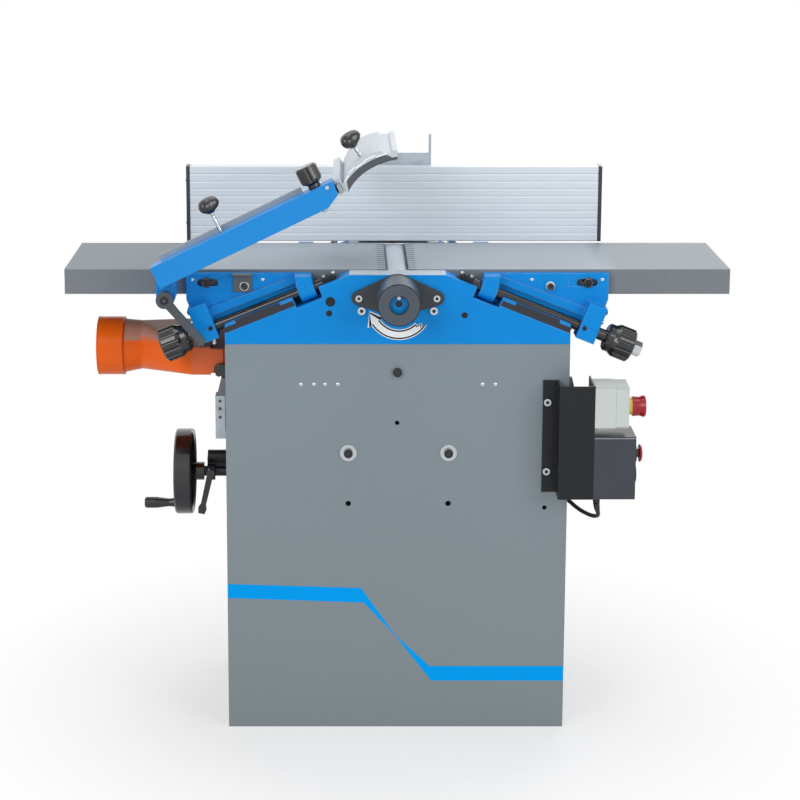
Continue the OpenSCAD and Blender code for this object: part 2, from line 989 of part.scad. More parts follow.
module bed_lock_lever() {
    color("#1d1e20")
        translate(lever_pivot) {
            rod_y(8, -8, 3);
            rod_y(lock_pin_r, 3, 13.5);
            rotate([0, 13, 0])
                slab_xz(-7, 0)
                    polygon([[-6, 0], [6, 0], [5, -62], [8, -70], [6, -80], [-6, -80], [-8, -70], [-5, -62]]);
        }
}

// Tables, described for the right-hand one

pocket_n = 4;

module table_body() {
    x0 = mouth_gap / 2;
    x1 = tables_l / 2;
    x_first = 132;
    y_in = table_w / 2 - table_rib_t;
    low = table_z - table_edge_h - eps;
    high = table_z - table_plate_t;
    cell = (x1 - x_first) / pocket_n;
    slots = floor(table_w / comb_pitch) - 1;
    difference() {
        span([x0, -table_w / 2, table_z - table_edge_h], [x1, table_w / 2, table_z]);
        span([x0 - eps, -y_in, low], [x_first - table_rib_t, y_in, high]);
        for (k = [0 : pocket_n - 1], y = [-1, 1])
            translate([x_first + k * cell, y * (y_in + table_rib_t / 2) / 2, 0])
                span([0, -(y_in - table_rib_t / 2) / 2, low],
                    [cell - table_rib_t, (y_in - table_rib_t / 2) / 2, high]);
        translate([0, 0, cutter_z])
            rod_y(knife_r + 3.8, -table_w / 2 - eps, table_w / 2 + eps);
        for (k = [0 : slots - 1])
            translate([0, (k - (slots - 1) / 2) * comb_pitch, 0])
                span([x0 - eps, -comb_w / 2, high - 5], [x0 + comb_l, comb_w / 2, table_z + eps]);
    }
}

bracket_x0 = rod_top_x + 21;
bracket_x1 = rod_top_x + 244;
bracket_z1 = table_z - 5;
bracket_edge_h = 47;
boss_y = rod_line_y + boss_r;
slot_x = [rod_top_x + 179, rod_top_x + 218];
slot_z = table_z - 22;
slot_r = 6.5;
bolt_x = rod_top_x + 140;
bolt_z = table_z - 28;

function on_rod_xz(s, n) = [rod_top_x + s * cos(slope) + n * sin(slope),
    rod_top_z - s * sin(slope) + n * cos(slope)];

module bracket() {
    s0 = upper_boss_s0;
    s1 = s0 + upper_boss_l;
    s2 = lower_boss_s0;
    s3 = s2 + lower_boss_l;
    under = -rod_r;
    difference() {
        union() {
            slab_xz(-table_w / 2 - bracket_t, -table_w / 2)
                polygon([on_rod_xz(s0, under), [bracket_x0, bracket_z1], [bracket_x1, bracket_z1],
                    [bracket_x1, bracket_z1 - bracket_edge_h], on_rod_xz(s3, under)]);
            slab_xz(-table_w / 2 - bracket_t - 6, -table_w / 2 - bracket_t + eps)
                polygon([on_rod_xz(s1 - 2, 17), on_rod_xz(s2 + 2, 17), on_rod_xz(s2 + 2, 34),
                    on_rod_xz(s1 - 2, 30)]);
            slab_xz(-boss_y + 0.6, -table_w / 2)
                polygon([on_rod_xz(s0, 0), on_rod_xz(s1, 0), [on_rod_xz(s1, 0)[0] + 8, bracket_z1],
                    [bracket_x0, bracket_z1]]);
            on_rod() {
                translate([0, -rod_line_y, 0])
                    rod_x(boss_r, s0, s1);
                span([s2, -boss_y, -boss_r], [s3, -table_w / 2, 4]);
                span([s2, -boss_y + 3, 0], [s3, -table_w / 2, 48]);
            }
        }
        on_rod()
            translate([0, -rod_line_y, 0])
                rod_x(rod_r + run_gap, s0 - eps - 20, s3 + eps + 20);
        span([slot_x[0] - slot_r, -table_w / 2 - bracket_t - eps, slot_z - slot_r],
            [slot_x[1] + slot_r, -table_w / 2 + eps, slot_z + slot_r]);
    }
    translate([bolt_x, -table_w / 2 - bracket_t, bolt_z])
        rod_y(8, -2, 0);
    translate([bolt_x, -table_w / 2 - bracket_t - 2, bolt_z])
        socket_screw(6, 6);
    translate([slot_x[1] - 11, -table_w / 2, slot_z])
        rotate([90, 0, 0])
            cylinder(h = bracket_t + 6, r = 9, $fn = 6);
}

module table_brackets() {
    bracket();
    mirror([0, 1, 0]) {
        bracket();
        on_rod()
            translate([0, -rod_line_y, 0]) {
                rod_x(rod_r, 0, rod_l);
                rod_x(rod_pin_r, -rod_pin_l, eps);
            }
    }
}

neck_s0 = 241;
knob_s0 = 258;
nut_l = 17;
nut_r = 14;

module adjuster(nut) {
    on_rod()
        translate([0, -rod_line_y, 0]) {
            rod_x(rod_r, 0, rod_l);
            rod_x(rod_pin_r, -rod_pin_l, eps);
            translate([neck_s0, 0, 0])
                rotate([0, 90, 0])
                    difference() {
                        rotate_extrude()
                            polygon([[rod_r - 2, 0], [11, 0], [11, knob_s0 - neck_s0],
                                [knob_r1 - 3, knob_s0 - neck_s0], [knob_r1, knob_s0 - neck_s0 + 3],
                                [knob_r1, knob_s0 - neck_s0 + 12], [knob_r2, knob_s0 - neck_s0 + 20],
                                [knob_r2, knob_s0 - neck_s0 + knob_l - 3],
                                [knob_r2 - 3, knob_s0 - neck_s0 + knob_l],
                                [0, knob_s0 - neck_s0 + knob_l], [0, 12], [rod_r - 2, 12]]);
                        for (a = [0 : knob_flutes - 1])
                            rotate([0, 0, a * 360 / knob_flutes])
                                translate([knob_r2 + 1, 0, knob_s0 - neck_s0 + 6])
                                    cylinder(h = knob_l, r = 3.2, $fn = 16);
                    }
            if (nut)
                translate([knob_s0 + knob_l, 0, 0])
                    rotate([0, 90, 0])
                        cylinder(h = nut_l, r = nut_r, $fn = 6);
        }
}

module infeed_table() {
    color("#8d9396")
        table_body();
}

module infeed_brackets() {
    color("#1b83d6")
        table_brackets();
}

module infeed_adjuster() {
    color("#222225")
        adjuster(true);
}

module outfeed_table() {
    color("#8d9396")
        mirror([1, 0, 0])
            table_body();
}

module outfeed_brackets() {
    color("#1b83d6")
        mirror([1, 0, 0])
            table_brackets();
}

module outfeed_adjuster() {
    color("#222225")
        mirror([1, 0, 0])
            adjuster(false);
}

// Bridge guard and its raised arm

pivot_x = -bracket_x1 - 33;
pivot_z = table_z - 39;
pivot_hub_r = 17;
arm_y0 = -226;
arm_y1 = arm_y0 + arm_d;
arm_u0 = 5;
arm_v0 = 23.4;
stud_r = 6;

// Local frame of the arm: X along the arm, Z square to it, origin at the pivot
module on_arm() {
    translate([pivot_x, 0, pivot_z])
        rotate([0, -arm_angle, 0])
            children();
}

module guard_block() {
    color("#1b83d6")
        difference() {
            slab_xz(arm_y1 + 2, -table_w / 2) {
                translate([pivot_x, pivot_z])
                    circle(r = pivot_hub_r);
                polygon([[pivot_x - pivot_hub_r, pivot_z], [pivot_x + pivot_hub_r, pivot_z],
                    [pivot_x + pivot_hub_r, table_z - 5], [pivot_x - pivot_hub_r, table_z - 5]]);
            }
            translate([pivot_x, 0, pivot_z])
                rod_y(stud_r + run_gap, arm_y1 - eps, arm_y1 + 30);
        }
}

module arm_outline(in) {
    polygon([[arm_u0 + in, arm_v0 + in], [arm_u0 + arm_l - tip_cut, arm_v0 + in],
        [arm_u0 + arm_l - in, arm_v0 + tip_rise + in / 2], [arm_u0 + arm_l - in, arm_v0 + arm_h - in],
        [arm_u0 + in, arm_v0 + arm_h - in]]);
}

rail_u = arm_u0 + arm_l;
rail_gap = 0.3;
tongue_l = 86;
tongue_y1 = arm_y0 + tongue_l;
bar_screw_u = 143;
clamp_u = rail_u - 32;
bar_u0 = 22;
bar_u1 = rail_u - 57;
bar_t = 6;
bar_low = 20;
bar_over = 9;
web_in = 40;
tip_cut = 26;
tip_rise = 14;
lug_depth = 12;
lug_w = 14;
clamp_screw_r = 4;

module guard_arm() {
    color("#1b83d6")
        on_arm()
            difference() {
                union() {
                    difference() {
                        slab_xz(arm_y0, arm_y1)
                            arm_outline(0);
                        slab_xz(arm_y0 + arm_t, arm_y1 - arm_t)
                            arm_outline(arm_t);
                        span([web_in, arm_y0 + arm_t, arm_v0 - eps],
                            [arm_u0 + arm_l - web_in, arm_y1 - arm_t, arm_v0 + arm_t + eps]);
                    }
                    slab_xz(arm_y1 - lug_depth, arm_y1) {
                        circle(r = lug_w);
                        polygon([[-lug_w, 0], [lug_w, 0], [lug_w + 20, arm_v0 + 2], [arm_u0, arm_v0 + 2]]);
                    }
                    span([bar_u0, arm_y1, arm_v0 + arm_h - bar_low],
                        [bar_u1, arm_y1 + bar_t, arm_v0 + arm_h + bar_over]);
                    span([rail_u - 4, arm_y0 + 4, arm_v0 + 16], [rail_u + 3, tongue_y1, arm_v0 + 24]);
                    span([rail_u + 3, arm_y0 + 4, arm_v0 + 12], [rail_u + 9, tongue_y1, arm_v0 + 28]);
                }
                rod_y(stud_r + run_gap, arm_y1 - 13, arm_y1 + eps);
                for (u = [bar_screw_u, clamp_u])
                    translate([u, (arm_y0 + arm_y1) / 2, arm_v0 - eps])
                        cylinder(h = arm_h + 20, r = clamp_screw_r + run_gap);
            }
}

lever_angle = 48.7;

module guard_lever() {
    color("#4a4d50")
        translate([pivot_x, 0, pivot_z]) {
            rod_y(stud_r, arm_y1 - 14, arm_y1 + 20);
            rod_y(15, arm_y1 - 30, arm_y1 - 12 - body_gap);
            rod_y(7, arm_y1 - 32, arm_y1 - 29);
            rotate([0, lever_angle - 90, 0])
                slab_xz(arm_y1 - 28, arm_y1 - 19)
                    polygon([[-8, 0], [8, 0], [6, -30], [6, -guard_lever_l + 4], [4, -guard_lever_l],
                        [-6, -guard_lever_l], [-8, -guard_lever_l + 4], [-8, -30]]);
        }
}

// Clamping knob with wings on a round neck, standing on Z
module wing_knob(screw_low, neck_z) {
    cylinder(h = neck_z + 4 - screw_low, r = clamp_screw_r);
    translate([0, 0, neck_z - screw_low]) {
        cylinder(h = 14, r1 = 7, r2 = 9);
        translate([0, 0, 12])
            linear_extrude(11)
                for (a = [0, 120, 240])
                    rotate(a) {
                        translate([11, 0])
                            circle(r = 6);
                        square([24, 12], center = true);
                    }
    }
}

module arm_bar_knob() {
    color("#1d1e20")
        on_arm()
            translate([bar_screw_u, (arm_y0 + arm_y1) / 2, arm_v0 + arm_h - 14])
                wing_knob(0, 58);
}

clamp_knob_r = 19.5;

module arm_clamp_knob() {
    color("#1d1e20")
        on_arm()
            translate([clamp_u, (arm_y0 + arm_y1) / 2, arm_v0 - 6]) {
                cylinder(h = arm_h + 12, r = clamp_screw_r);
                translate([0, 0, arm_h + 6 + body_gap])
                    difference() {
                        rotate_extrude()
                            polygon([[0, 0], [11, 0], [11, 7], [clamp_knob_r - 2, 11],
                                [clamp_knob_r, 16], [clamp_knob_r, 38], [clamp_knob_r - 3, 41], [0, 41]]);
                        for (a = [0 : 45 : 315])
                            rotate([0, 0, a])
                                translate([clamp_knob_r + 1, 0, 10])
                                    cylinder(h = 32, r = 3.4, $fn = 16);
                    }
            }
}

bridge_y1 = arm_y0 + 28 + bridge_l;
bridge_y0 = bridge_y1 - bridge_l;
rail_at = [pivot_x + rail_u * cos(arm_angle) - arm_v0 * sin(arm_angle),
    pivot_z + rail_u * sin(arm_angle) + arm_v0 * cos(arm_angle)];
bridge_top = [rail_at + [0, 18], rail_at + [13, 90], rail_at + [97, 86]];
bridge_low = [rail_at + [11, 12], rail_at + [33, 58], rail_at + [97, 70]];
foot_t = 13;
foot_low = 9.2;
foot_high = 36;
curve_n = 10;

function reversed(list) = [for (i = [len(list) - 1 : -1 : 0]) list[i]];
function lifted(list, d) = [for (p = list) [p[0], p[1] + d]];

bridge_knob_at = [rail_at[0] + 33, bridge_y0 + 22, rail_at[1] + 73];
bridge_knob_tilt = 34.7;
bridge_knob_low = 20;

module bridge() {
    v0 = arm_v0;
    u0 = rail_u + body_gap;
    color("#d5d8da")
        difference() {
            union() {
                slab_xz(bridge_y0, bridge_y1)
                    polygon(concat(bezier(bridge_top, curve_n),
                        reversed(bezier(lifted(bridge_low, pad_t + 0.1), curve_n))));
                on_arm()
                    span([u0, bridge_y0, v0 + foot_low], [u0 + foot_t, bridge_y1, v0 + foot_high]);
            }
            on_arm() {
                span([u0 - eps, bridge_y0 - eps, v0 + 16 - rail_gap],
                    [rail_u + 6, bridge_y1 + eps, v0 + 24 + rail_gap]);
                span([rail_u + 3 - rail_gap, bridge_y0 - eps, v0 + 12 - rail_gap],
                    [rail_u + 9 + rail_gap, bridge_y1 + eps, v0 + 28 + rail_gap]);
            }
            translate([rail_at[0], 0, rail_at[1]])
                span([69, bridge_y0 - eps, 81], [87, bridge_y1 + eps, 88]);
            translate(bridge_knob_at)
                rotate([0, -bridge_knob_tilt, 0])
                    translate([0, 0, -bridge_knob_low])
                        cylinder(h = 40, r = clamp_screw_r + run_gap);
        }
}

module bridge_pad() {
    color("#5b5d60")
        slab_xz(bridge_y0 + 1, bridge_y1 - 1)
            polygon(concat(bezier(bridge_low, curve_n), reversed(bezier(lifted(bridge_low, pad_t), curve_n))));
}

module bridge_knob() {
    color("#1d1e20")
        translate(bridge_knob_at)
            rotate([0, -bridge_knob_tilt, 0])
                translate([0, 0, -bridge_knob_low])
                    wing_knob(0, bridge_knob_low + 25);
}

// Fence with its tilting bracket, carriage and guide

fence_y0 = table_w / 2 + 3;
fence_y1 = fence_y0 + fence_t;
fence_z0 = table_z + fence_gap;
fence_z1 = fence_z0 + fence_h;
groove_w = 1.6;
groove_d = 1.2;
fence_wall = 3;

module fence() {
    inner_h = (fence_h - 4 * fence_wall) / 3;
    color("#c4c8cc")
        slab_yz(-fence_l / 2, fence_l / 2)
            difference() {
                translate([fence_y0, fence_z0])
                    square([fence_t, fence_h]);
                for (k = [1 : fence_grooves])
                    translate([fence_y0 - eps, fence_z0 + k * fence_h / (fence_grooves + 1)])
                        square([groove_d + eps, groove_w]);
                for (k = [0 : 2])
                    translate([fence_y0 + fence_wall + 1, fence_z0 + fence_wall + k * (inner_h + fence_wall)])
                        square([fence_t - 2 * fence_wall - 1, inner_h]);
            }
}

module fence_caps() {
    color("#3b3d40")
        left_right()
            span([fence_l / 2, fence_y0 - 0.5, fence_z0 - 0.5],
                [fence_l / 2 + fence_cap_t, fence_y1 + 0.5, fence_z1 + 1]);
}

tilt_p = [fence_y1 + 12, table_z + 22];
web_top = fence_z1 + 23;
sector_r = 108;
slot_rad = 85;
bolt_angle = 43;
tilt_max = 45;
tilt_pin_r = 5;
ear_w = 16;

function around(r, a) = [tilt_p[0] + r * cos(a), tilt_p[1] + r * sin(a)];

module cheek_outline() {
    difference() {
        union() {
            polygon(concat([[fence_y1, tilt_p[1] - 12], [fence_y1, table_z + 4 + ear_h],
                [fence_y1 + ear_w, table_z + 4 + ear_h]],
                [for (a = [76 : -6.5 : 37]) around(sector_r, a)],
                [around(13, -20), around(13, -60), around(13, -100)]));
            translate(tilt_p)
                circle(r = 12);
        }
        translate(tilt_p)
            circle(r = tilt_pin_r + run_gap);
        polygon(concat([for (a = [bolt_angle - 1 : 5.25 : bolt_angle + tilt_max + 2]) around(slot_rad + 4.3, a)],
            reversed([for (a = [bolt_angle - 1 : 5.25 : bolt_angle + tilt_max + 2]) around(slot_rad - 4.3, a)])));
        for (a = [bolt_angle, bolt_angle + tilt_max])
            translate(around(slot_rad, a))
                circle(r = 4.6);
    }
}

module tilt_bracket() {
    color("#b9bec1") {
        span([-tilt_w / 2, fence_y1, tilt_p[1] - 6], [tilt_w / 2, fence_y1 + tilt_t, web_top]);
        left_right()
            slab_yz(tilt_w / 2 - tilt_t, tilt_w / 2)
                cheek_outline();
    }
}

bar_w = 40;
bar_h = 16;
bar_z = table_z + 3.5;
lug_t = 6;
lug_x = tilt_w / 2 - tilt_t - body_gap;

module fence_carriage() {
    color("#63676a") {
        span([-bar_w / 2, fence_y1 + 8, bar_z], [bar_w / 2, fence_y1 + 8 + fence_bar_l, bar_z + bar_h]);
        span([-lug_x, fence_y1 + 6, bar_z], [lug_x, fence_y1 + 30, bar_z + 8]);
        left_right() {
            slab_yz(lug_x - lug_t, lug_x) {
                polygon([[fence_y1 + 6, bar_z], [fence_y1 + 40, bar_z], around(slot_rad + 6, bolt_angle - 2),
                    around(slot_rad + 5, bolt_angle + 2), around(slot_rad - 4, bolt_angle + 3.5),
                    around(7, 130), around(7, 180)]);
                translate(tilt_p)
                    circle(r = 7);
            }
            translate([0, tilt_p[0], tilt_p[1]])
                rod_x(tilt_pin_r, lug_x - eps, tilt_w / 2 + 3);
            translate([0, around(slot_rad, bolt_angle)[0], around(slot_rad, bolt_angle)[1]]) {
                rod_x(4, lug_x - eps, tilt_w / 2 + 3);
                rod_x(8, tilt_w / 2 + body_gap, tilt_w / 2 + 7);
            }
        }
    }
}

guide_y0 = fence_y1 + 35;
guide_y1 = guide_y0 + 60;
guide_w = 90;
guide_leg_x = 108;
guide_leg_t = 12;
guide_slack = 0.3;
guide_over = 12;
guide_leg_h = 90;
guide_foot_t = 14;
guide_knee = 30;
guide_heel = 20;

module fence_guide() {
    top_z = bar_z + bar_h + guide_over;
    color("#1b83d6")
        difference() {
            union() {
                span([-guide_leg_x - guide_leg_t, guide_y0, table_z - 1],
                    [guide_leg_x + guide_leg_t, guide_y1, bar_z - guide_slack]);
                span([-guide_w / 2, guide_y0, table_z - 1], [guide_w / 2, guide_y1, top_z]);
                left_right() {
                    slab_yz(guide_leg_x, guide_leg_x + guide_leg_t)
                        polygon([[half_d, table_z - guide_leg_h], [half_d + guide_foot_t, table_z - guide_leg_h],
                            [guide_y1, table_z - guide_heel], [guide_y1, bar_z - guide_slack],
                            [guide_y0, bar_z - guide_slack], [half_d, table_z - guide_knee]]);
                }
            }
            span([-bar_w / 2 - guide_slack, guide_y0 - eps, bar_z - guide_slack],
                [bar_w / 2 + guide_slack, guide_y1 + eps, bar_z + bar_h + guide_slack]);
            translate([0, (guide_y0 + guide_y1) / 2, bar_z + bar_h])
                cylinder(h = 20, r = 5 + run_gap);
        }
}

module fence_lever() {
    top_z = bar_z + bar_h + guide_over;
    color("#1d1e20")
        translate([0, (guide_y0 + guide_y1) / 2, 0]) {
            translate([0, 0, bar_z + bar_h + 1])
                cylinder(h = 14, r = 5);
            translate([0, 0, top_z + body_gap])
                cylinder(h = 15, r = 9);
            translate([0, 0, top_z + 7])
                rotate([0, 0, 20])
                    linear_extrude(7)
                        polygon([[0, -6], [40, -4], [52, -6], [54, 0], [52, 6], [40, 4], [0, 6]]);
        }
}

// Dust hood lying on the bed, with its port towards the left

port_x1 = -half_l - 244;
port_x0 = port_x1 + port_l;
port_z = 680;
waist_x = -half_l - 163;
waist_r = 45;
duct_x1 = -half_l - 62;
duct_y = 121.5;
duct_z0 = bed_z + 37;
duct_z1 = duct_z0 + duct_h + 5;
flange_x1 = -half_l - 29;
scoop_x0 = -45;
scoop_x1 = 60;
scoop_z1 = 730;
hood_leg_x = [-half_l + 7, 40];
hood_leg_y = 106;
flange_x2 = -half_l - 6;
flange_y = duct_y;

module disc_x(x, z, r) {
    translate([x, 0, z])
        rotate([0, 90, 0])
            cylinder(h = 0.5, r = r, $fn = 32);
}

module hood_solid(in) {
    hull() {
        disc_x(port_x0 - 0.5, port_z, port_r - 4 - in);
        disc_x(waist_x, port_z + 2, waist_r - in);
    }
    hull() {
        disc_x(waist_x, port_z + 2, waist_r - in);
        span([duct_x1, -duct_y + in, duct_z0 + in], [duct_x1 + 1, duct_y - in, duct_z1 - in]);
    }
}

module dust_hood() {
    color("#e8622a") {
        difference() {
            union() {
                translate([0, 0, port_z])
                    rod_x(port_r, port_x1, port_x0);
                hood_solid(0);
                span([duct_x1, -duct_y, duct_z0], [flange_x1, duct_y, duct_z1]);
                span([flange_x1 - eps, -duct_y + hood_t, duct_z0 + hood_t],
                    [scoop_x1, duct_y - hood_t, duct_z1 - hood_t]);
                span([scoop_x0, -duct_y + hood_t, duct_z0 + hood_t], [scoop_x1, duct_y - hood_t, scoop_z1]);
            }
            translate([0, 0, port_z])
                rod_x(port_r - hood_t, port_x1 - eps, port_x0 - hood_t);
            translate([0, 0, port_z])
                rod_x(port_r - 4 - hood_t, port_x0 - hood_t - eps, port_x0);
            hood_solid(hood_t);
            span([duct_x1 + 0.5, -duct_y + hood_t, duct_z0 + hood_t],
                [flange_x1 - hood_t, duct_y - hood_t, duct_z1 - hood_t]);
            span([duct_x1 + 2, -duct_y + 2 * hood_t, duct_z0 + 2 * hood_t],
                [scoop_x1 - hood_t, duct_y - 2 * hood_t, duct_z1 - 2 * hood_t]);
            span([scoop_x0 + hood_t, -duct_y + 2 * hood_t, duct_z0 + 2 * hood_t],
                [scoop_x1 - hood_t, duct_y - 2 * hood_t, scoop_z1 + eps]);
        }
        front_back()
            for (x = hood_leg_x)
                span([x, -hood_leg_y - 5, bed_z + body_gap], [x + 16, -hood_leg_y, duct_z0 + 1.5 * hood_t]);
        front_back()
            span([flange_x1 - eps, -flange_y, duct_z0 + hood_t],
                [flange_x2, -duct_y + hood_t + eps, duct_z1 - hood_t]);
    }
}

hood_knob_z = duct_z0 + 10.6;
hood_knob_r = 12;
hood_knob_x = -half_l - 11;

module hood_knobs() {
    color("#1d1e20")
        front_back()
            translate([hood_knob_x, -flange_y, hood_knob_z])
                difference() {
                    rod_y(hood_knob_r, -12, 0);
                    for (a = [0 : 60 : 300])
                        rotate([0, a, 0])
                            translate([0, 0, hood_knob_r + 1])
                                rod_y(2.6, -13, -3);
                }
}

// Switch gear on its sheet bracket

switch_y0 = -225;
switch_x0 = half_l + 38;
switch_z0 = 451;
switch_z1 = 658;
bracket_in_x = half_l - 47;
bracket_step_x = half_l - 19;
side_sheet_d = 80;

module switch_bracket() {
    t = switch_sheet_t;
    color("#2b2c2f")
        translate([0, 0, switch_z0])
            linear_extrude(switch_z1 - switch_z0)
                polygon([[bracket_in_x, front_y], [bracket_in_x, front_y - t],
                    [bracket_step_x - t, front_y - t], [bracket_step_x - t, switch_y0],
                    [switch_x0 + t, switch_y0], [switch_x0 + t, switch_y0 + side_sheet_d],
                    [switch_x0, switch_y0 + side_sheet_d], [switch_x0, switch_y0 + t],
                    [bracket_step_x, switch_y0 + t], [bracket_step_x, front_y]]);
}

module box_profile(y0, y1, z0, z1, c) {
    polygon([[y0 + c, z0], [y1 - c, z0], [y1, z0 + c], [y1, z1 - c], [y1 - c, z1], [y0 + c, z1],
        [y0, z1 - c], [y0, z0 + c]]);
}

box_x0 = switch_x0 + switch_sheet_t;
stop_box_x1 = box_x0 + 60;
stop_box_seam = box_x0 + 37;
stop_box_d = 66;
lid_in = 0.8;
stop_box_z1 = 657;
stop_z = 614;
stop_y = -191;
collar_r = 15;
mushroom_r = 19.5;

module stop_box() {
    z0 = stop_box_z1 - stop_box_h;
    color("#cfd1ca") {
        difference() {
            union() {
                slab_yz(box_x0, stop_box_seam)
                    box_profile(switch_y0, switch_y0 + stop_box_d, z0, stop_box_z1, 3);
                slab_yz(stop_box_seam, stop_box_x1)
                    box_profile(switch_y0 + lid_in, switch_y0 + stop_box_d - lid_in, z0 + lid_in,
                        stop_box_z1 - lid_in, 4);
            }
            translate([0, stop_y, stop_z])
                rod_x(7, stop_box_x1 - 18, stop_box_x1 + eps);
        }
        translate([0, stop_y, stop_z])
            difference() {
                rod_x(collar_r, stop_box_x1, stop_box_x1 + 10.5);
                rod_x(7, stop_box_x1 - eps, stop_box_x1 + 12);
            }
    }
}

module stop_button() {
    color("#c3202b")
        translate([stop_box_x1, stop_y, stop_z]) {
            rod_x(6.6, -12, 22);
            rotate([0, 90, 0])
                rotate_extrude()
                    polygon([[0, 15.5], [collar_r + 0.5, 15.5], [collar_r + 0.5, 9.5], [mushroom_r - 1.5, 9.5],
                        [mushroom_r - 2.5, 22], [mushroom_r, 29], [mushroom_r - 1, 32],
                        [mushroom_r - 4, 33], [0, 33]]);
        }
}

switch_box_x1 = box_x0 + 74;
switch_box_d = 79;
switch_box_z1 = switch_z0 + switch_box_h;
small_stop_z = 526;
start_z = 489;
button_y = -186;
ring_r = 16;
start_r = 12.4;
start_top = 4.6;
start_t = 2.6;
start_sink = button_travel + start_t - start_top + 1;
gland_x = box_x0 + 10;
gland_y = -190;
gland_l = 8;

module switch_box() {
    color("#3c3f47") {
        difference() {
            slab_yz(box_x0, switch_box_x1)
                box_profile(switch_y0, switch_y0 + switch_box_d, switch_z0, switch_box_z1, 2);
            for (z = [small_stop_z, start_z])
                translate([0, button_y, z])
                    rod_x(8, switch_box_x1 - 16, switch_box_x1 + eps);
            translate([0, button_y, start_z])
                rod_x(start_r + 0.6, switch_box_x1 - start_sink, switch_box_x1 + eps);
        }
        for (z = [small_stop_z, start_z])
            translate([0, button_y, z])
                difference() {
                    rod_x(ring_r, switch_box_x1, switch_box_x1 + 5);
                    rod_x(8, switch_box_x1 - eps, switch_box_x1 + 6);
                    if (z == start_z)
                        rod_x(start_r + 0.6, switch_box_x1 - eps, switch_box_x1 + 6);
                }
        translate([gland_x, gland_y, switch_z0 - gland_l])
            cylinder(h = gland_l, r1 = 5.5, r2 = 8);
        translate([gland_x + 12, switch_y0 + switch_box_d, switch_z0 + 24])
            rod_y(6.5, 0, gland_l);
    }
}

module small_stop_button() {
    color("#c3202b")
        translate([switch_box_x1, button_y, small_stop_z]) {
            rod_x(7.6, -8, 12);
            rotate([0, 90, 0])
                rotate_extrude()
                    polygon([[0, 10], [ring_r - 1, 10], [ring_r, 12], [ring_r - 3, 15], [6, 16.5], [0, 16.5]]);
        }
}

module start_button() {
    color("#26272a")
        translate([switch_box_x1, button_y, start_z]) {
            rod_x(7.6, -8, 3);
            rod_x(start_r, start_top - start_t, start_top);
        }
}

// Cables, along points chosen by hand

loop_route = [[358, -190, 443], [358, -190, 435], [359, -189, 427], [361, -186, 419], [363, -180, 411],
    [363, -172, 405], [360, -163, 401], [354, -153, 399], [346, -144, 400], [337, -136, 403], [328, -129, 408],
    [320, -124, 414], [313, -121, 419], [306, -120, 423], [300, -120, 426]];
back_route = [[370, -138, 475], [370, -130, 475], [369, -122, 474], [366, -113, 472], [361, -104, 469],
    [354, -97, 466], [346, -92, 463], [337, -88, 460], [327, -86, 457], [317, -85, 455], [308, -85, 454],
    [300, -85, 454]];
back_hole = [-85, 454];
tube_sides = 10;

function unit(v) = v / norm(v);
function heading(p, i) = unit(p[min(i + 1, len(p) - 1)] - p[max(i - 1, 0)]);

module tube(route, r) {
    side = [0.31, 0.95, 0.05];
    n = len(route);
    rings = [for (i = [0 : n - 1])
        let (t = heading(route, i), u = unit(cross(side, t)), v = cross(t, u))
            [for (k = [0 : tube_sides - 1]) let (a = k * 360 / tube_sides) route[i] + r * (cos(a) * u + sin(a) * v)]];
    polyhedron(
        points = [for (ring = rings, p = ring) p],
        faces = concat(
            [[for (k = [tube_sides - 1 : -1 : 0]) k]],
            [for (i = [0 : n - 2], k = [0 : tube_sides - 1])
                let (j = (k + 1) % tube_sides, a = i * tube_sides, b = a + tube_sides)
                    [a + k, a + j, b + j, b + k]],
            [[for (k = [0 : tube_sides - 1]) (n - 1) * tube_sides + k]]));
}

module switch_cables() {
    color("#1c1c1e") {
        tube(loop_route, cable_r);
        tube(back_route, cable_r);
    }
}

base_plate();
front_panel();
rear_panel();
left_panel();
right_panel();
front_frame();
rear_frame();
way_strips();
rod_keepers();
shaft_cover();
housing_screws();
bearings();
cutterblock();
cutter_pulley();
motor();
motor_pulley();
drive_belt();
infeed_roller();
outfeed_roller();
feed_gearbox();
rear_cover();
kickback_fingers();
bed();
bed_end_plates();
lift_housing();
elevating_screw();
handwheel();
wheel_shaft();
crank_handle();
shaft_bush();
bed_lock_lever();
infeed_table();
infeed_brackets();
infeed_adjuster();
outfeed_table();
outfeed_brackets();
outfeed_adjuster();
guard_block();
guard_arm();
guard_lever();
arm_bar_knob();
arm_clamp_knob();
bridge();
bridge_pad();
bridge_knob();
fence();
fence_caps();
tilt_bracket();
fence_carriage();
fence_guide();
fence_lever();
dust_hood();
hood_knobs();
switch_bracket();
stop_box();
switch_box();
stop_button();
small_stop_button();
start_button();
switch_cables();
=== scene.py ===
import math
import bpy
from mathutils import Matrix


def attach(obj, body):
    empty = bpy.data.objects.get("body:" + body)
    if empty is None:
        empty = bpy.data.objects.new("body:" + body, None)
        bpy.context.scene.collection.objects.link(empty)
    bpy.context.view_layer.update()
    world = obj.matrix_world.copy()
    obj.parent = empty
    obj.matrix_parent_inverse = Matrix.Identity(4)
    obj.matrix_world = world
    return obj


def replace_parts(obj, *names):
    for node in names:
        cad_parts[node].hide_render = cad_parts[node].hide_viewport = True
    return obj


bl_info = {
    "name": "Planer thicknesser dress",
    "version": (1, 0, 0),
    "blender": (4, 5, 0),
    "location": "View3D > Sidebar > Planer",
    "description": "Paints, metals, small fittings, cables and a studio for the packed planer",
    "category": "Object",
}

import bmesh
import bpy
from bpy.props import FloatProperty, FloatVectorProperty, PointerProperty
from bpy.types import Operator, Panel, PropertyGroup
from mathutils import Matrix, Vector

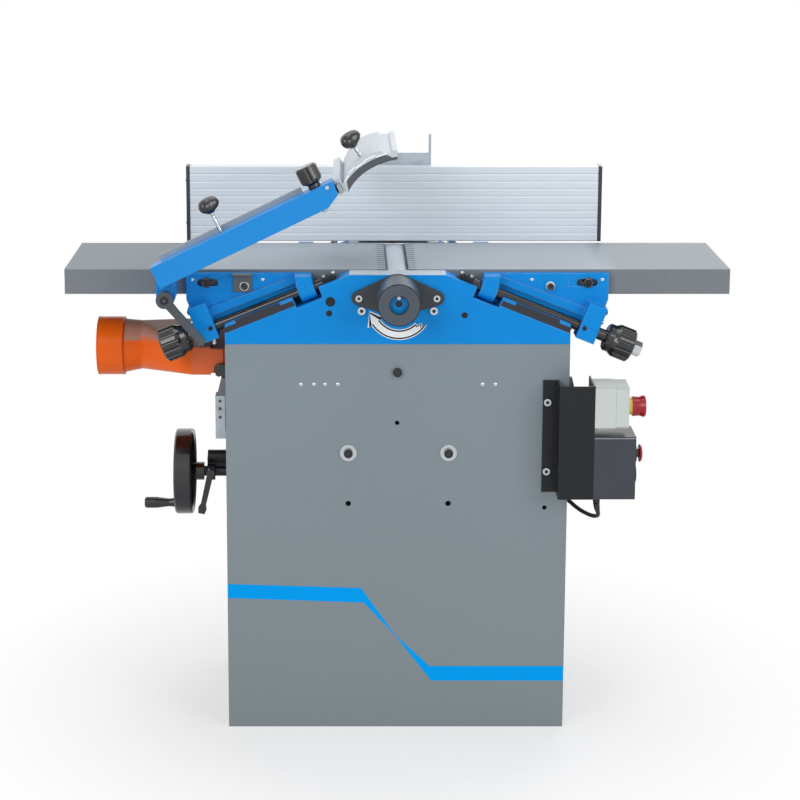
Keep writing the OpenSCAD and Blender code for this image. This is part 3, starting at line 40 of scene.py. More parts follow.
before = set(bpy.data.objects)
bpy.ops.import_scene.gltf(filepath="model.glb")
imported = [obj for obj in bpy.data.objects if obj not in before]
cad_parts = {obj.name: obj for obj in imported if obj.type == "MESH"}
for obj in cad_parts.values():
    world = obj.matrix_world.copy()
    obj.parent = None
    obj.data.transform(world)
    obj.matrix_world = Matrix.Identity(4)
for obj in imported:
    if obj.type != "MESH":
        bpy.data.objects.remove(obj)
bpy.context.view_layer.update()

# Places, sizes and slopes of the part's source, in metres and, for the cables' routes, millimetres
MM = 0.001
FRONT_Y = -0.175
SLOPE = math.radians(22)
ROD_TOP = (0.133, 0.8292)
ROD_Y = 0.152
CUTTER_Z = 0.8125
PIVOT = (-0.41, 0.811)
ARM_TILT = math.radians(25.9)
RAIL = (-0.099077, 0.987988)
PORT_Z = 0.68
ARM_END = 0.3572
ROD_END = 0.2408
NUT_START = 0.3082
BRIDGE_ENDS = (-0.198, 0.057)
KNOB_LEAN = math.radians(34.7)
KNOB_AXIS = (-0.06608, 1.06099)
COVER_RIM, COVER_HOLE = 0.0357, 0.0172
BOLT, NUT, SLOT_END = (0.273, 0.822), (0.34, 0.828), 0.0065
FENCE_FOOT, GROOVE_PITCH = 0.853, 0.0143
STOP_FACE, SWITCH_FACE = 0.4079, 0.4219
ARROW_AT = (0.0025, 0.79)
LOOP_ROUTE = [
    (358, -190, 443), (358, -190, 435), (359, -189, 427), (361, -186, 419), (363, -180, 411),
    (363, -172, 405), (360, -163, 401), (354, -153, 399), (346, -144, 400), (337, -136, 403),
    (328, -129, 408), (320, -124, 414), (313, -121, 419), (306, -120, 423), (300, -120, 426)]
BACK_ROUTE = [
    (370, -138, 475), (370, -130, 475), (369, -122, 474), (366, -113, 472), (361, -104, 469),
    (354, -97, 466), (346, -92, 463), (337, -88, 460), (327, -86, 457), (317, -85, 455),
    (308, -85, 454), (300, -85, 454)]

# Where the photograph was taken from, in millimetres, and how it was framed
CAMERA_AT = (-96.2, -3790.7, 1576.3)
CAMERA_DOWN = math.radians(11.076)
CAMERA_SHIFT = (0.0707, -0.17)

FORWARD, RIGHT, DOWN, UP = (0, -1, 0), (1, 0, 0), (0, 0, -1), (0, 0, 1)
WHITE = (1, 1, 1)
GLOSSY = {"Coat Weight": 0.45, "Coat Roughness": 0.05}


def mm(*numbers):
    """A point or size written in millimetres, in metres."""
    return Vector([n * MM for n in numbers])


def linear(red, green, blue):
    """A colour read off a screen, as the light it stands for."""
    return tuple(
        c / 3294.6 if c < 10.5 else ((c / 255 + 0.055) / 1.055) ** 2.4 for c in (red, green, blue))


def hue(name, red, green, blue, description):
    """A colour that a user may change."""
    return FloatVectorProperty(
        name=name, description=description, subtype="COLOR", size=3, min=0, max=1,
        default=linear(red, green, blue))


def length(name, default, description):
    """A size that a user may change."""
    return FloatProperty(
        name=name, description=description, default=default, min=0, unit="LENGTH", subtype="DISTANCE",
        precision=5)


class PlanerPaints(PropertyGroup):
    """Colours of the paints, metals and mouldings."""

    cabinet: hue("Cabinet", 129, 141, 148, "Powder coat on the cabinet and the drive cover")
    casting: hue("Castings", 0, 138, 219, "Enamel on the frames, brackets and fence guide")
    arm: hue("Guard arm", 34, 140, 218, "Enamel on the arm of the bridge guard")
    stripe: hue("Stripe", 0, 158, 242, "Stepped stripe across the front panel")
    hood: hue("Dust hood", 242, 102, 18, "Enamel on the dust hood")
    table: hue("Table tops", 168, 177, 185, "Ground tops of the tables and bed")
    table_edge: hue("Table edges", 124, 130, 135, "Cast edges of the tables and bed")
    alloy: hue("Alloy", 218, 226, 234, "Anodised fence and bridge")
    steel: hue("Steel", 220, 228, 235, "Turned and ground steel")
    zinc: hue("Zinc", 205, 208, 210, "Plated screws and washers")
    galvanised: hue("Galvanised sheet", 178, 188, 196, "Spangled bed plates and tilt bracket")
    dark_steel: hue("Dark steel", 52, 54, 62, "Blackened ways, shafts and fingers")
    lever: hue("Guard lever", 70, 76, 82, "Die cast lever of the guard")
    black_sheet: hue("Black sheet", 26, 28, 31, "Powder coated switch bracket, bush and gearbox")
    moulding: hue("Black moulding", 21, 22, 24, "Handwheel, knobs and levers")
    switch_box: hue("Switch box", 54, 58, 67, "Moulded switch box and fence caps")
    stop_box: hue("Stop box", 201, 208, 205, "Moulded box of the emergency stop")
    stop_red: hue("Stop red", 158, 8, 24, "Mushroom buttons")
    collar: hue("Collar yellow", 240, 206, 104, "Collar behind the emergency stop")
    pad: hue("Bridge pad", 78, 83, 89, "Soft pad under the bridge")
    rubber: hue("Rubber", 24, 25, 27, "Belt, cables and grommets")
    motor: hue("Motor", 62, 70, 78, "Paint on the motor")
    arrow: hue("Arrow white", 238, 240, 242, "Turning arrow under the shaft cover")


class PlanerSizes(PropertyGroup):
    """Sizes of the edges, cables and small fittings."""

    edge: length("Paint edge", 0.0034, "Radius to which paint rounds a casting's edge")
    fold: length("Fold", 0.0028, "Outer radius of the cabinet's folds")
    grind: length("Ground edge", 0.0006, "Radius left on ground and turned edges")
    cable: length("Cable diameter", 0.0075, "Outside diameter of the switch cables")
    relief: length("Strain relief", 0.026, "Length of the tapered sleeve on a cable")
    decal: length("Decal", 0.0002, "Thickness of the stripe and the arrow")


def power(name, default, place):
    """The power of a lamp that a user may change."""
    return FloatProperty(
        name=name, description=f"Power of the lamp {place}", default=default, min=0, unit="POWER")


class PlanerStudio(PropertyGroup):
    """Light and floor."""

    key: power("Key", 62, "on the left")
    fill: power("Fill", 44, "on the right")
    top: power("Top", 34, "overhead")
    back: power("Back", 26, "behind")
    ambient: FloatProperty(
        name="Ambient", description="Even light from all round", default=0.46, min=0, max=1)
    floor: hue("Floor", 232, 233, 235, "Pale floor")
    lens: FloatProperty(
        name="Lens", description="Focal length for a 36 mm wide frame", default=94.0, min=1,
        unit="CAMERA")


def maths(operation, flipped=False):
    """A method that adds one Math node for its value and the other one, in this order or flipped."""
    def add(self, *other):
        values = (*other, self) if flipped else (self, *other)
        return self.nodes.add("ShaderNodeMath", {"operation": operation}, dict(enumerate(values)))
    return add


class Wire:
    """One output of a node, which takes part in Python arithmetic and adds the Math nodes for it."""

    def __init__(self, nodes, socket):
        self.nodes = nodes
        self.socket = socket

    __add__ = __radd__ = maths("ADD")
    __sub__, __rsub__ = maths("SUBTRACT"), maths("SUBTRACT", True)
    __mul__ = __rmul__ = maths("MULTIPLY")
    __truediv__, __rtruediv__ = maths("DIVIDE"), maths("DIVIDE", True)
    __gt__, __lt__ = maths("GREATER_THAN"), maths("LESS_THAN")
    __and__, __or__ = maths("MINIMUM"), maths("MAXIMUM")
    __abs__ = maths("ABSOLUTE")


class Nodes:
    """The node tree of a material or the world."""

    def __init__(self, owner):
        owner.use_nodes = True
        self.tree = owner.node_tree
        self.tree.nodes.clear()

    def add(self, kind, settings=None, inputs=None, output=0):
        """Adds a node: its settings come first, then the values or links of its sockets."""
        made = self.tree.nodes.new(kind)
        for key, value in (settings or {}).items():
            setattr(made, key, value)
        for key, value in (inputs or {}).items():
            self.feed(made.inputs[key], value)
        return Wire(self, made.outputs[output]) if made.outputs else made

    def feed(self, socket, value):
        """Links a wire to a socket, or sets the socket's own value."""
        if isinstance(value, Wire):
            self.tree.links.new(value.socket, socket)
        else:
            socket.default_value = (*value, 1) if socket.type == "RGBA" else value


class Finish(Nodes):
    """A paint, metal or moulding: one Principled shader and the expressions that feed it. Its tone is
    the colour so far, on which recipes lay others."""

    def __init__(self, name, radius=0.0, uniform=None, tone=None):
        self.tone = tone
        self.material = bpy.data.materials.new(name)
        super().__init__(self.material)
        self.skin = self.add("ShaderNodeBsdfPrincipled", inputs=uniform)
        self.sheet = self.add("ShaderNodeOutputMaterial", inputs={0: self.skin})
        self.place = self.add("ShaderNodeTexCoord", output="Object")
        self.round = self.add("ShaderNodeBevel", {"samples": 4}, {"Radius": radius}) if radius else None

    def axes(self, vector=None):
        """The three parts of a vector, which is the place on the part by default."""
        made = self.add("ShaderNodeSeparateXYZ", inputs={0: vector or self.place})
        return [Wire(self, part) for part in made.socket.node.outputs]

    def stretched(self, *scale):
        """The place, stretched along the axes to draw out a pattern."""
        return self.add("ShaderNodeMapping", inputs={"Vector": self.place, "Scale": scale})

    def noise(self, scale, detail=2.0, place=None, roughness=0.5):
        """Cloudy variation from 0 to 1."""
        return self.add("ShaderNodeTexNoise", inputs={
            "Vector": place or self.place, "Scale": scale, "Detail": detail, "Roughness": roughness})

    def ramp(self, value, low, high, to_low=0.0, to_high=1.0):
        """Value read from low to high, held between its ends."""
        return self.add("ShaderNodeMapRange", {"clamp": True}, {
            "Value": value, "From Min": low, "From Max": high, "To Min": to_low, "To Max": to_high})

    def mix(self, factor, first, second):
        """A colour between two colours."""
        return self.add("ShaderNodeMix", {"data_type": "RGBA"}, {0: factor, 6: first, 7: second}, 2)

    def tint(self, factor, colour, low, high):
        """One colour between a darker and a lighter shade of itself."""
        return self.mix(factor, shade(colour, low), shade(colour, high))

    def lay(self, factor, colour):
        """Lays a colour over the tone."""
        self.tone = self.mix(factor, self.tone, colour)

    def clouded(self, colour, low, high, scale, grain):
        """Starts the tone with slow clouds, and returns them and a fine grain."""
        cloud = self.noise(scale, 3)
        self.tone = self.tint(cloud, colour, low, high)
        return cloud, self.noise(grain, 2)

    def upward(self):
        """How far the surface faces up, from the part's own normal."""
        return self.axes(self.add("ShaderNodeTexCoord", output="Normal"))[2]

    def edge_wear_and_highlight(self, gain=3.0):
        """Mask of the rounded edges, which hands and work rub and where a lighter colour is laid as a
        painted highlight.
        """
        flat = self.add("ShaderNodeNewGeometry", output="Normal")
        along = self.add(
            "ShaderNodeVectorMath", {"operation": "DOT_PRODUCT"}, {0: self.round, 1: flat}, "Value")
        rub = self.ramp(self.noise(38, 3), 0.32, 0.56)
        return self.ramp((1 - along) * gain, 0.0, 1.0) * rub

    def done(self, roughness, metallic=0.0, height=None, depth=0.0002, strength=1.0):
        """Feeds the shader, with a bump over the rounded edges, and returns the material."""
        normal = self.round
        if height is not None:
            inputs = {"Strength": strength, "Distance": depth, "Height": height}
            if normal is not None:
                inputs["Normal"] = normal
            normal = self.add("ShaderNodeBump", inputs=inputs)
        fed = {"Base Color": self.tone, "Roughness": roughness, "Metallic": metallic, "Normal": normal}
        for key, value in fed.items():
            if value is not None:
                self.feed(self.skin.socket.node.inputs[key], value)
        return self.material


def shade(colour, factor):
    """A colour made lighter or darker."""
    return tuple(min(1.0, c * factor) for c in colour)


def toward(colour, other, share):
    """A colour moved part of the way to another."""
    return tuple(a + (b - a) * share for a, b in zip(colour, other))


def rod_reach(finish, side):
    """Distance down an inclined rod from its upper end, for the right side or, mirrored, the left."""
    x, _, z = finish.axes()
    return (x * side - ROD_TOP[0]) * math.cos(SLOPE) - (z - ROD_TOP[1]) * math.sin(SLOPE)


def rod_lift(finish, side):
    """Distance square above an inclined rod."""
    x, _, z = finish.axes()
    return (x * side - ROD_TOP[0]) * math.sin(SLOPE) + (z - ROD_TOP[1]) * math.cos(SLOPE)


def disc(across, up, radius):
    """Mask of what lies within a radius of an axis."""
    return across * across + up * up < radius ** 2


def arm_along(finish):
    """Distance along the guard arm from its pivot."""
    x, _, z = finish.axes()
    return (x - PIVOT[0]) * math.cos(ARM_TILT) + (z - PIVOT[1]) * math.sin(ARM_TILT)


def black_sheet(name, p):
    """Black powder coat on sheet: fine pebble, slow cloud, rubbed edges laid lighter, partly as a
    painted highlight.
    """
    f = Finish(name, 0.0016, {"Specular IOR Level": 0.3})
    cloud = f.noise(3.2, 4)
    pebble = f.noise(620, 2)
    scuff = f.ramp(f.noise(7, 6, f.stretched(1, 1, 5), 0.7), 0.62, 0.78)
    f.tone = f.tint(cloud, p.black_sheet, 0.93, 1.07)
    f.lay(scuff * 0.16, shade(p.black_sheet, 1.25))
    # Rubbed edges laid lighter: wear, and a painted highlight along them.
    f.lay(f.edge_wear_and_highlight(2.2) * 0.45, linear(70, 72, 75))
    return f.done(0.27 + cloud * 0.14 + scuff * 0.06, 0.0, pebble, 0.0001, 0.5)


def cover_black(name, _):
    """Satin black shaft cover, darker round its rim and its hole."""
    f = Finish(name, 0.0026, {"Specular IOR Level": 0.4})
    x, y, z = f.axes()
    rise = z - CUTTER_Z
    out = x * x + rise * rise
    rim = ((out > COVER_RIM ** 2) | (out < COVER_HOLE ** 2)) & (y < -0.26)
    cloud = f.noise(26, 3)
    pebble = f.noise(620, 2)
    f.tone = f.mix(cloud, linear(68, 76, 86), linear(78, 87, 98))
    f.lay(y > -0.1815, linear(52, 57, 64))
    f.lay(rim, linear(18, 19, 22))
    # Rounded edges laid lighter: a painted highlight, with some wear.
    f.lay(f.edge_wear_and_highlight(2.2) * 0.3, linear(110, 118, 128))
    return f.done(0.26 + cloud * 0.08, 0.0, pebble, 0.00004, 0.4)


def cabinet_grey(name, p):
    """Grey powder coat of the cabinet, a little darker and greener towards the floor, with painted
    highlights along its folds.
    """
    f = Finish(name, bpy.context.scene.planer_sizes.fold, {"Specular IOR Level": 0.4})
    _, _, z = f.axes()
    cloud = f.noise(2.4, 4)
    pebble = f.noise(560, 2)
    scuff = f.ramp(f.noise(5, 7, f.stretched(1, 1, 4), 0.72), 0.63, 0.8)
    # Darker and greener towards the floor.
    low = f.ramp(z, 0.02, 0.62, 1.0, 0.0)
    f.tone = f.tint(cloud, p.cabinet, 0.95, 1.06)
    f.lay(low * 0.5, toward(shade(p.cabinet, 0.9), linear(128, 132, 124), 0.5))
    f.lay(scuff * 0.12, shade(p.cabinet, 1.3))
    # Folded edges laid much lighter: a painted highlight along the folds, with some wear.
    f.lay(f.edge_wear_and_highlight(2.0) * 0.5, shade(p.cabinet, 1.7))
    return f.done(0.4 + cloud * 0.16 + scuff * 0.08, 0.0, pebble, 0.0001, 0.45)


def enamel(name, colour, radius=None):
    """Casting enamel: smooth paint over a lumpy cast skin, with painted highlights on its edges."""
    f = Finish(name, radius or bpy.context.scene.planer_sizes.edge, {
        "Specular IOR Level": 0.12, "Coat Weight": 0.14, "Coat Roughness": 0.06, "Coat IOR": 1.45})
    skin = f.noise(42, 4, roughness=0.6)
    peel = f.noise(380, 1)
    cloud = f.noise(6, 3)
    f.tone = f.tint(cloud, colour, 0.92, 1.08)
    # Edges of the castings laid lighter and paler blue: a painted highlight, with some wear.
    f.lay(f.edge_wear_and_highlight(3.2) * 0.55, toward(colour, (0.62, 0.78, 0.92), 0.5))
    rough = 0.3 + cloud * 0.1 + skin * 0.08
    height = skin * 0.8 + peel * 0.2
    return f, rough, height


def casting_blue(name, p):
    """Blue enamel with the machined land along the top of a frame."""
    f, rough, height = enamel(name, p.casting)
    x, y, z = f.axes()
    land = (z > 0.8484) & (abs(x) < 0.0936)
    land = (land & (f.upward() > 0.5)) | ((y > 0.1305) & (y < 0.1325) & ((abs(x) < 0.052) & (z > 0.79)))
    scratch = f.noise(60, 3, f.stretched(1, 22, 1))
    f.lay(land, f.mix(scratch, shade(p.steel, 0.72), p.steel))
    return f.done(rough * (1 - land) + land * (0.26 + scratch * 0.16), land * 0.9, height, 0.0003, 0.5)


def plain_blue(name, p, radius=None):
    """Blue enamel for the guard block and the fence guide, and for what fills a slot."""
    f, rough, height = enamel(name, p.casting, radius)
    return f.done(rough, 0.0, height, 0.0003, 0.5)


def bracket_blue(name, p, side):
    """Blue enamel of a table's brackets, with their steel bolts and the rear guide rod picked out."""
    f, rough, height = enamel(name, p.casting)
    x, y, z = f.axes()
    away = abs(y)
    washer = disc(x * side - BOLT[0], z - BOLT[1], 0.0082) & (away > 0.1411)
    head = disc(x * side - BOLT[0], z - BOLT[1], 0.0061) & (away > 0.1431)
    nut = disc(x * side - NUT[0], z - NUT[1], 0.0094) & (away > 0.1305)
    dark = head | nut | disc(rod_lift(f, side), y - ROD_Y, 0.01004)
    metal = washer | dark
    f.lay(washer, p.zinc)
    # Bolt heads, nuts and the rod are dark, with their rounded rims laid lighter as a painted
    # highlight.
    f.lay(dark, f.mix(f.edge_wear_and_highlight(3.0), linear(44, 45, 48), linear(150, 154, 160)))
    return f.done(rough * (1 - metal) + metal * 0.3, metal * 0.75, height * (1 - metal), 0.0003, 0.5)


def arm_blue(name, p):
    """Smooth enamel of the guard arm, with its bare alloy bar and rail, painted highlights on its edges
    and painted shade in the recess at its end.
    """
    f = Finish(name, 0.002, {"Specular IOR Level": 0.2})
    x, y, z = f.axes()
    rise = (z - PIVOT[1]) * math.cos(ARM_TILT) - (x - PIVOT[0]) * math.sin(ARM_TILT)
    bare = (y > -0.1858) | ((y > -0.1863) & (rise > 0.0636)) | (arm_along(f) > ARM_END)
    cloud = f.noise(8, 3)
    peel = f.noise(420, 1)
    drawn = f.noise(30, 3, f.stretched(1, 30, 30))
    f.tone = f.tint(cloud, p.arm, 0.95, 1.05)
    # Edges laid pale blue: a painted highlight, with some wear.
    f.lay(f.edge_wear_and_highlight(2.4) * 0.5, toward(p.arm, (0.8, 0.9, 1.0), 0.6))
    f.lay(bare, f.tint(drawn, p.alloy, 0.46, 0.56))
    # Dark strip at the end of the arm, in the recess by the rail: painted shade.
    f.lay((arm_along(f) > ARM_END) & (arm_along(f) < ARM_END + 0.0034), linear(24, 25, 27))
    return f.done((0.3 + cloud * 0.08) * (1 - bare) + bare * (0.36 + drawn * 0.12), bare * 0.4,
                  peel, 0.00008, 0.4)


def hood_orange(name, p):
    """Orange enamel of the dust hood, with a brown-grey painted reflection on what faces up, a salmon
    painted reflection on the box's sides and painted highlights on its edges.
    """
    f = Finish(name, 0.0018, {"Specular IOR Level": 0.15, "Coat Weight": 0.1, "Coat Roughness": 0.08})
    cloud = f.noise(5, 4)
    peel = f.noise(360, 1)
    reflection_mottle = f.noise(900, 2)
    x, _, _ = f.axes()
    # Brown-grey painted reflection on the faces turned up, mottled by fine noise; the surface is
    # rougher there too.
    top_reflection = f.ramp(f.upward(), 0.34, 0.46) * (x > -0.5) * (0.66 + cloud * 0.24)
    f.tone = f.tint(cloud, p.hood, 0.9, 1.1)
    # Rounded edges laid lighter: a painted highlight, with some wear.
    f.lay(f.edge_wear_and_highlight(2.0) * 0.4, shade(p.hood, 1.5))
    f.lay(top_reflection * f.ramp(reflection_mottle, 0.2, 0.5, 0.75, 1.0), linear(168, 143, 132))
    # Sides of the box moved toward salmon: painted reflection.
    box = (x > -0.3695) & (f.upward() < 0.3)
    f.lay(box * 0.6, linear(222, 112, 80))
    return f.done(0.24 + cloud * 0.08 + top_reflection * 0.3, 0.0, peel, 0.0001, 0.4)


def ground_table(name, p):
    """Ground top with lengthwise strokes, darker past the ends of the fence, cast iron below it with
    lighter edges, painted shade in the slots of the comb plates.
    """
    f = Finish(name, bpy.context.scene.planer_sizes.edge, {"Specular IOR Level": 0.12})
    x, _, z = f.axes()
    top = f.ramp(f.upward(), 0.82, 0.95)
    stroke = f.noise(26, 5, f.stretched(1.5, 34, 34), 0.65)
    hair = f.noise(70, 3, f.stretched(1, 60, 60), 0.7)
    cloud = f.noise(3.0, 5, roughness=0.6)
    cast = f.noise(160, 4, roughness=0.65)
    ground = f.tint(stroke * 0.5 + cloud * 0.5, p.table, 0.86, 1.12)
    # The tops grow darker past the ends of the fence.
    darker_ends = f.ramp(abs(x) + cloud * 0.03, 0.375, 0.415)
    ground = f.mix(darker_ends * 0.8, ground, shade(p.table, 0.56))
    side = f.tint(cast, p.table_edge, 0.86, 1.12)
    # Edges of the cast sides laid toward the ground colour: wear, and a painted highlight.
    side = f.mix(f.edge_wear_and_highlight(3.0) * 0.8, side, p.table)
    # Walls of the narrow slots in the comb plates darkened: painted shade.
    slot = (abs(x) < 0.036) & (z > 0.84)
    side = f.mix(slot * 0.85, side, linear(30, 32, 36))
    f.tone = f.mix(top, side, ground)
    rough = top * (0.44 + stroke * 0.12 + cloud * 0.06) + (1 - top) * (0.5 + cast * 0.14)
    height = top * hair * 0.05 + (1 - top) * cast
    return f.done(rough, top * 0.06 + 0.04, height, 0.0002, 0.6)


def anodised(name, p, colour=None):
    """Anodised extrusion with its drawing lines along the length, painted highlights and shade at the
    fence's grooves and on its edges.
    """
    colour = colour or p.alloy
    f = Finish(name, 0.0007)
    drawn = f.noise(30, 4, f.stretched(0.6, 36, 36), 0.6)
    cloud = f.noise(3.0, 3)
    f.tone = f.tint(drawn * 0.4 + cloud * 0.6, colour, 0.94, 1.05)
    _, y, z = f.axes()
    # Painted highlight along the upper edge of each groove in the fence's face, and painted shade in
    # the groove.
    turn = f.add("ShaderNodeMath", {"operation": "FRACT"}, {0: (z - FENCE_FOOT) / GROOVE_PITCH})
    face = (y < 0.1335) & (z < 0.9945)
    f.lay((turn > 0.87) & face, shade(colour, 1.22))
    f.lay((turn < 0.12) & face, shade(colour, 0.55))
    # Rounded edges laid lighter: a painted highlight, with some wear.
    f.lay(f.edge_wear_and_highlight(2.0) * 0.5, (0.9, 0.92, 0.94))
    return f.done(0.34 + drawn * 0.1 + cloud * 0.06, 0.4, drawn, 0.000012, 0.5)


def bridge_alloy(name, p):
    """Satin anodised bridge, drawn along its own length."""
    f = Finish(name, 0.0008)
    drawn = f.noise(30, 4, f.stretched(36, 0.6, 36), 0.6)
    cloud = f.noise(5.0, 3)
    f.tone = f.tint(drawn * 0.5 + cloud * 0.5, p.alloy, 0.72, 0.84)
    return f.done(0.36 + drawn * 0.1, 0.35, drawn, 0.00001, 0.5)


def turned_steel(name, _, colour, axis, metallic=0.95, rough=0.22):
    """Turned or ground steel with fine rings across one axis."""
    scale = [2, 2, 2]
    scale[axis] = 60
    f = Finish(name, bpy.context.scene.planer_sizes.grind)
    ring = f.noise(24, 4, f.stretched(*scale), 0.6)
    cloud = f.noise(12, 4)
    f.tone = f.tint(ring * 0.5 + cloud * 0.5, colour, 0.82, 1.1)
    # Rounded edges laid lighter: a painted highlight, with some wear.
    f.lay(f.edge_wear_and_highlight(2.5) * 0.6, shade(colour, 1.5))
    return f.done(rough + ring * 0.12 + cloud * 0.1, metallic, ring, 0.000012, 0.5)


def cast_iron(name, _, colour):
    """Painted cast iron with a sandy skin."""
    f = Finish(name, 0.0015)
    sand = f.noise(220, 4, roughness=0.7)
    cloud = f.noise(9, 3)
    f.tone = f.tint(sand * 0.5 + cloud * 0.5, colour, 0.85, 1.15)
    return f.done(0.52 + sand * 0.12, 0.2, sand, 0.0003, 0.6)


def plated(name, p):
    """Bright zinc plate on screws, with the plain dark bolt under the shaft cover."""
    f = Finish(name, 0.0003)
    x, y, z = f.axes()
    head = disc(abs(x - 0.0025) - 0.09, z - 0.523, 0.0096) & (y < -0.1771)
    dark = (abs(x) < 0.02) & ((z > 0.65) & (z < 0.7)) | head
    film = f.noise(90, 3)
    f.tone = f.tint(film, p.zinc, 0.86, 1.05)
    f.lay(dark, linear(58, 61, 65))
    return f.done(0.2 + film * 0.16, 0.92, film, 0.000012, 0.4)


def galvanised(name, p):
    """Galvanised sheet with its spangle."""
    f = Finish(name, 0.0008)
    cell = f.add("ShaderNodeTexVoronoi", {"feature": "F1"}, {"Vector": f.place, "Scale": 62.0}, "Color")
    flake = f.axes(cell)[0]
    cloud = f.noise(14, 3)
    f.tone = f.tint(flake * 0.6 + cloud * 0.4, p.galvanised, 0.8, 1.14)
    return f.done(0.3 + flake * 0.18, 0.75, flake, 0.00003, 0.4)


def moulded(name, _, colour, rough=0.3, radius=0.0008, uniform=None):
    """Moulded plastic: satin, with a fine even grain."""
    f = Finish(name, radius, uniform)
    cloud, fine = f.clouded(colour, 0.9, 1.12, 16, 420)
    # Edges moved a little toward grey: a painted highlight, with some wear.
    f.lay(f.edge_wear_and_highlight(1.6) * 0.15, toward(colour, (0.5, 0.5, 0.5), 0.12))
    return f.done(rough + cloud * 0.06, 0.0, fine, 0.000012, 0.35)


def knob_black(name, p, at, tilt, neck):
    """Black moulding on a bright steel stem, which shows below its neck."""
    f = Finish(name, 0.0009, {"Coat Weight": 0.35, "Coat Roughness": 0.05})
    x, _, z = f.axes()
    rise = (z - at[1]) * math.cos(tilt) - (x - at[0]) * math.sin(tilt)
    stem = rise < neck
    cloud, fine = f.clouded(p.moulding, 0.85, 1.3, 22, 420)
    f.lay(stem, f.mix(f.ramp(fine, 0.4, 0.6), shade(p.steel, 0.25), p.steel))
    return f.done(0.14 + cloud * 0.06, stem * 0.9, fine, 0.000012, 0.35)


def adjuster_black(name, p, side):
    """Blackened guide rod and its fluted knob; the right one ends in a plated nut."""
    f = Finish(name, 0.0012, GLOSSY)
    reach = rod_reach(f, side)
    rod = reach < ROD_END
    nut = reach > NUT_START
    ring = f.noise(20, 3)
    fine = f.noise(420, 2)
    f.tone = f.tint(ring, p.moulding, 0.85, 1.35)
    f.lay(rod, f.mix(ring, linear(30, 31, 34), linear(46, 47, 51)))
    f.lay(nut, p.zinc)
    return f.done(0.16 + ring * 0.06, rod * 0.5 + nut * 0.9, fine, 0.000012, 0.35)


def stop_box_pale(name, p):
    """Pale moulding of the emergency stop box with its yellow collar and painted shade on its top."""
    f = Finish(name, 0.0012)
    x, _, _ = f.axes()
    collar = x > STOP_FACE + 0.0002
    cloud, fine = f.clouded(p.stop_box, 0.95, 1.03, 12, 520)
    # Top faces darker: painted shade.
    f.lay(f.upward() > 0.6, shade(p.stop_box, 0.74))
    f.lay(collar, p.collar)
    return f.done(0.36 + cloud * 0.1, 0.0, fine, 0.00006, 0.35)


def switch_box_dark(name, p):
    """Dark moulding of the switch box, with black rings and cable glands, painted shade on its top and
    a painted highlight along its front top edge.
    """
    f = Finish(name, 0.0012)
    x, y, z = f.axes()
    black = (x > SWITCH_FACE + 0.0002) | (z < 0.4509) | ((y > -0.1458) & (x < 0.4))
    cloud, fine = f.clouded(p.switch_box, 0.88, 1.0, 14, 640)
    # Top faces darker: painted shade.
    f.lay(f.upward() > 0.6, linear(40, 43, 48))
    # A light line along the front top edge: painted highlight.
    lip = ((z > 0.5628) & (z < 0.5642)) & (y < -0.2246)
    f.lay(lip, linear(150, 156, 166))
    f.lay(black, p.moulding)
    return f.done(0.38 + cloud * 0.1, 0.0, fine, 0.00008, 0.4)


def soft_pad(name, p):
    """Foamed pad glued under the bridge."""
    f = Finish(name, 0.0012, {"Sheen Weight": 0.15})
    foam = f.add(
        "ShaderNodeTexVoronoi", {"feature": "F1"}, {"Vector": f.place, "Scale": 700.0}, "Distance")
    cloud = f.noise(18, 3)
    f.tone = f.tint(cloud, p.pad, 0.88, 1.12)
    return f.done(0.72, 0.0, foam, 0.0002, 0.5)


def rubber(name, p):
    """Black rubber of the belt, cables and grommets."""
    f = Finish(name, 0.0, {"Sheen Weight": 0.08})
    cloud, fine = f.clouded(p.rubber, 0.8, 1.4, 24, 500)
    return f.done(0.46 + cloud * 0.12, 0.0, fine, 0.00008, 0.4)


def printed(name, _, colour):
    """Printed film: satin, a touch uneven."""
    f = Finish(name, uniform={"Specular IOR Level": 0.05})
    cloud, fine = f.clouded(colour, 0.95, 1.04, 9, 600)
    return f.done(0.34 + cloud * 0.1, 0.0, fine, 0.00003, 0.3)


def recess(name, _):
    """Painted shade for the dark inside of a hole or hollow section."""
    f = Finish(name)
    cloud = f.noise(30, 3)
    f.tone = f.mix(cloud, linear(20, 21, 23), linear(48, 50, 53))
    return f.done(0.6, 0.0, cloud, 0.0001, 0.3)


